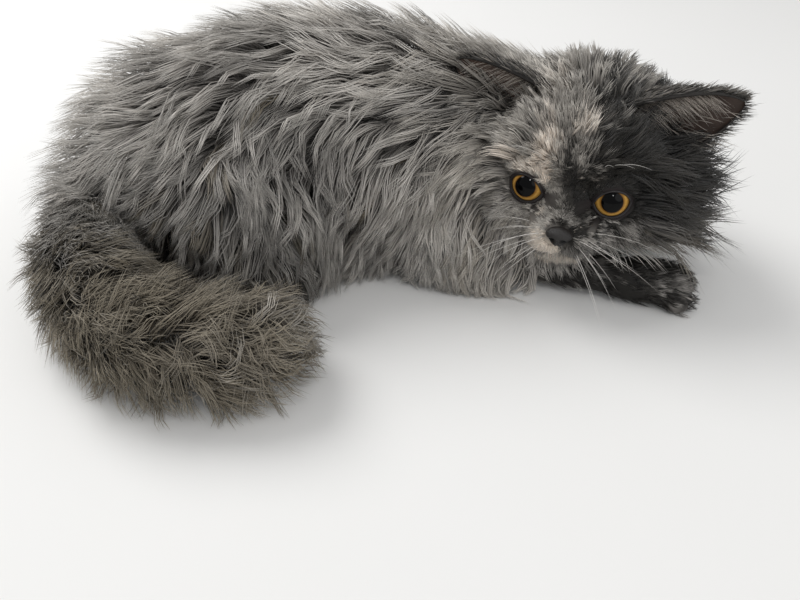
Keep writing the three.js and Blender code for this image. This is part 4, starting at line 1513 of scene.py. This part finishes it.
def make_ears():
    parts = []
    for outer, inner in EAR_WALLS.values():
        rings = np.concatenate([outer, inner[:, ::-1]], 1).reshape(-1, 3)
        ends = outer[0].mean(0), outer[-1].mean(0)
        verts, tris = capped(rings, EAR_ROWS, EAR_COLUMNS * 2, *ends)
        parts.append((from_head(verts), tris))
    ob = merged("ears", parts)
    # The cup is bare skin, its rim and back are dark fur. The left ear's cup (side 1, the first) is only
    # half bare, darker towards the fur's colour: painted shade.
    cup = smooth_step(np.sin(np.linspace(0, np.pi, EAR_COLUMNS)), 0.1, 0.5)
    bare = np.r_[np.tile(np.r_[np.zeros(EAR_COLUMNS), cup], EAR_ROWS), 0, 0]
    give(ob, "bare", np.r_[0.5 * bare, bare])
    ob.data.materials.append(EAR_SKIN)
    return settle(ob, "ear_fur", "ear_left", "ear_right")


make_ears()


class Hairs:
    """Single hairs, gathered in the head's frame with their roots, ways, sizes and tones."""

    steps = 4
    droop = 0.05

    def __init__(self):
        self.columns = [[] for _ in range(7)]

    def add(self, *columns):
        """Roots, ways, ups, lengths, lifts, widths and tones of some hairs."""
        for kept, new in zip(self.columns, columns):
            kept.append(new)

    def make(self, name, slot, nodes, matter):
        root, ahead, up, length, lift, wide, tone = map(np.concatenate, self.columns)
        turn = HEAD_M[:3, :3].T
        root, ahead, up = from_head(root), ahead @ turn, up @ turn
        points, p = [], root
        d = unit(ahead + up * lift[:, None])
        for _ in range(self.steps):
            points.append(p)
            p = p + d * (length / (self.steps - 1))[:, None]
            d = unit(d + np.array([0, 0, -self.droop]) + rng.normal(0, 0.04, d.shape))
        sides = np.repeat(unit(np.cross(ahead, up))[:, None], self.steps, 1)
        paths = np.stack(points, 1), sides, np.repeat(up[:, None], self.steps, 1)
        shade = np.clip(rng.normal(0.5, 0.2, len(root)), 0, 1)
        width = wide[:, None] * taper(self.steps)[None]
        ob = strand_object(name, paths, width, root, np.clip(tone, 0, 1), shade, matter)
        return settle(ob, slot, *nodes)


# Hairs on the back of each ear, and in each cup, of which the left one shows more
BACK_HAIRS = 1800
CUP_HAIRS = {1: 420, -1: 180}
# Most hairs of a cup stand within so many columns of its front edge.
CUP_EDGE = 9


def add_back_hairs(hairs, outer, up):
    """Short dark hairs over the back of an ear and along its edges."""
    count = BACK_HAIRS
    i = rng.uniform(0, EAR_ROWS - 1.01, count)
    j = rng.uniform(0, EAR_COLUMNS - 1.01, count)
    a, b = i.astype(int), j.astype(int)
    fi, fj = (i - a)[:, None], (j - b)[:, None]
    low = outer[a, b] * (1 - fj) + outer[a, b + 1] * fj
    high = outer[a + 1, b] * (1 - fj) + outer[a + 1, b + 1] * fj
    at = low * (1 - fi) + high * fi
    edge = np.abs(j / (EAR_COLUMNS - 1) * 2 - 1)
    hairs.add(
        at,
        unit(np.repeat(up[None], count, 0) + rng.normal(0, 0.15, (count, 3))),
        unit(at - outer.mean(1)[a]),
        rng.uniform(4, 7.5, count) + 3 * (edge > 0.9),
        rng.uniform(0.15, 0.4, count),
        np.full(count, 0.5),
        np.tile([0.75, 0.0, 0.2], (count, 1)) + rng.normal(0, 0.12, (count, 3)),
    )


def add_cup_hairs(hairs, side, inner, up, front, aside):
    """Long pale hairs that stand in an ear's cup, from its inner edge and floor."""
    count = CUP_HAIRS[side]
    edge = (1, CUP_EDGE) if side == 1 else (EAR_COLUMNS - CUP_EDGE, EAR_COLUMNS - 1)
    a = (rng.beta(1.2, 2.4, count) * (EAR_ROWS - 2)).astype(int)
    at_edge = rng.random(count) < 0.75
    b = np.where(at_edge, rng.integers(*edge, count), rng.integers(2, EAR_COLUMNS - 2, count))
    at = inner[a, b]
    inward = unit(inner.mean(1)[a] - at)
    way = up * 0.9 + inward * 0.5 + front * 0.5 + aside * (0.55 * side)
    hairs.add(
        at,
        unit(way + rng.normal(0, 0.2, (count, 3))),
        unit(inward + front),
        rng.uniform(14, 27, count) * (1 - 0.4 * a / EAR_ROWS),
        rng.uniform(0.0, 0.35, count),
        np.full(count, 0.42),
        np.tile([0.0, 0.35, 0.2], (count, 1)) + rng.normal(0, 0.1, (count, 3)),
    )


ear_hairs = Hairs()
for side, (outer, inner) in EAR_WALLS.items():
    _, _, up, front, aside = ear_axes(side)
    add_back_hairs(ear_hairs, outer, up)
    add_cup_hairs(ear_hairs, side, inner, up, front, aside)
ear_hairs.make("ear_hair", "ear_fur", ("ear_left", "ear_right"), FACE_HAIR)

WHISKER_STEPS = 12
WHISKER_SIDES = 5
WHISKER_R = 0.14
WHISKER_TIP_R = 0.02
# How many whiskers stand in each row of the cheek's pad, from the top
WHISKER_ROWS = (3, 3, 3, 2)
BROW_WHISKERS = 3


def whisker_material():
    made, make = material("whisker")
    cloud = noise(make, attribute(make, "root", "Vector"), 90.0)
    surface(make, mix(make, cloud, rgb(196, 192, 186), rgb(228, 224, 218)), 0.3, 0.6)
    return made


def tube(path, radii, sides):
    """A closed round tube along a path."""
    ahead = unit(np.gradient(path, axis=0))
    verts = []
    for p, r, way in zip(path, radii, ahead):
        s = unit(np.cross(way, np.array([0, 0, 1.0])))
        t = np.cross(s, way)
        for j in range(sides):
            a = 2 * math.pi * j / sides
            verts.append(p + r * (math.cos(a) * s + math.sin(a) * t))
    return capped(np.array(verts), len(path), sides, path[0], path[-1])


def whisker(root, ahead, length, drop):
    p, d = np.array(root, float), unit(np.array(ahead, float))
    path = [p]
    for _ in range(WHISKER_STEPS):
        p = p + d * length / WHISKER_STEPS
        d = unit(d + np.array([0, 0, -drop / WHISKER_STEPS]))
        path.append(p)
    radii = WHISKER_R * (1 - np.linspace(0, 1, WHISKER_STEPS + 1) ** 1.4) + WHISKER_TIP_R
    return tube(from_head(np.array(path)), radii, WHISKER_SIDES)


def make_whiskers():
    parts = []
    for side in (1, -1):
        for row, count in enumerate(WHISKER_ROWS):
            for k in range(count):
                root = (46 - 2.6 * k, side * (7 + 2.6 * k), -19.5 - 2.3 * row + 0.3 * k)
                forward = 0.75 - 0.34 * k + rng.normal(0, 0.1)
                ahead = (forward, side * (0.8 + 0.2 * k), 0.30 - 0.28 * row + rng.normal(0, 0.1))
                parts.append(whisker(root, ahead, rng.uniform(30, 52), rng.uniform(0.35, 0.9)))
        for k in range(BROW_WHISKERS):
            root = (31 - 1.2 * k, side * (15 + 3.0 * k), 17 + 0.8 * k)
            ahead = (0.9, side * (0.3 + 0.3 * k), 1.0)
            parts.append(whisker(root, ahead, rng.uniform(20, 30), 0.5))
    ob = merged("whiskers", parts)
    give(ob, "root", metres(vertices_of(ob)))
    ob.data.materials.append(whisker_material())
    return settle(ob, "face_fur", "head")


make_whiskers()

FLOOR_HALF = 4.0
FLOOR_DROP = 0.0005
# Each lamp: its place and the point it shines at, in metres, its width and its power
LAMPS = {
    "key": ((-0.75, 0.55, 1.15), (0.05, 0.0, 0.06), 0.9, 15.0),
    "fill": ((0.9, -0.9, 0.9), (0.05, 0.0, 0.06), 1.4, 5.0),
    "spark": ((0.0, -0.75, 1.3), (0.1, 0.0, 0.07), 0.16, 2.5),
}
SKY = (0.97, 0.98, 1.0, 1)
SKY_STRENGTH = 0.55
CAMERA_AT = (0.0, -370.0, 299.0)
CAMERA_TILT = 50
CAMERA_LENS = 36
CAMERA_SENSOR = 36
CAMERA_NEAR = 0.01


def floor_material():
    made, make = material("floor")
    cloud = noise(make, object_place(make), 3.0, 4.0)
    surface(make, mix(make, cloud, rgb(222, 221, 218), rgb(228, 227, 225)), 0.9, 0.5)
    return made


def make_stage():
    bm = bmesh.new()
    bmesh.ops.create_grid(bm, x_segments=2, y_segments=2, size=FLOOR_HALF)
    mesh = bpy.data.meshes.new("floor")
    bm.to_mesh(mesh)
    bm.free()
    ob = new_object("floor", mesh)
    ob.location.z = -FLOOR_DROP
    mesh.materials.append(floor_material())


def make_light():
    for name, (at, target, size, power) in LAMPS.items():
        data = bpy.data.lights.new(name, "AREA")
        data.shape = "DISK"
        data.size = size
        data.energy = power
        ob = new_object(name, data)
        ob.location = at
        ob.rotation_euler = (Vector(target) - Vector(at)).to_track_quat("-Z", "Y").to_euler()
    world = bpy.data.worlds.new("studio")
    world.use_nodes = True
    background = world.node_tree.nodes["Background"].inputs
    background["Color"].default_value = SKY
    background["Strength"].default_value = SKY_STRENGTH
    bpy.context.scene.world = world
    bpy.context.scene.view_settings.view_transform = "Standard"


def make_camera():
    data = bpy.data.cameras.new("camera")
    data.lens = CAMERA_LENS
    data.sensor_width = CAMERA_SENSOR
    data.clip_start = CAMERA_NEAR
    ob = new_object("camera", data)
    ob.location = metres(CAMERA_AT)
    ob.rotation_euler = (math.radians(CAMERA_TILT), 0, 0)
    bpy.context.scene.camera = ob


make_stage()
make_light()
make_camera()
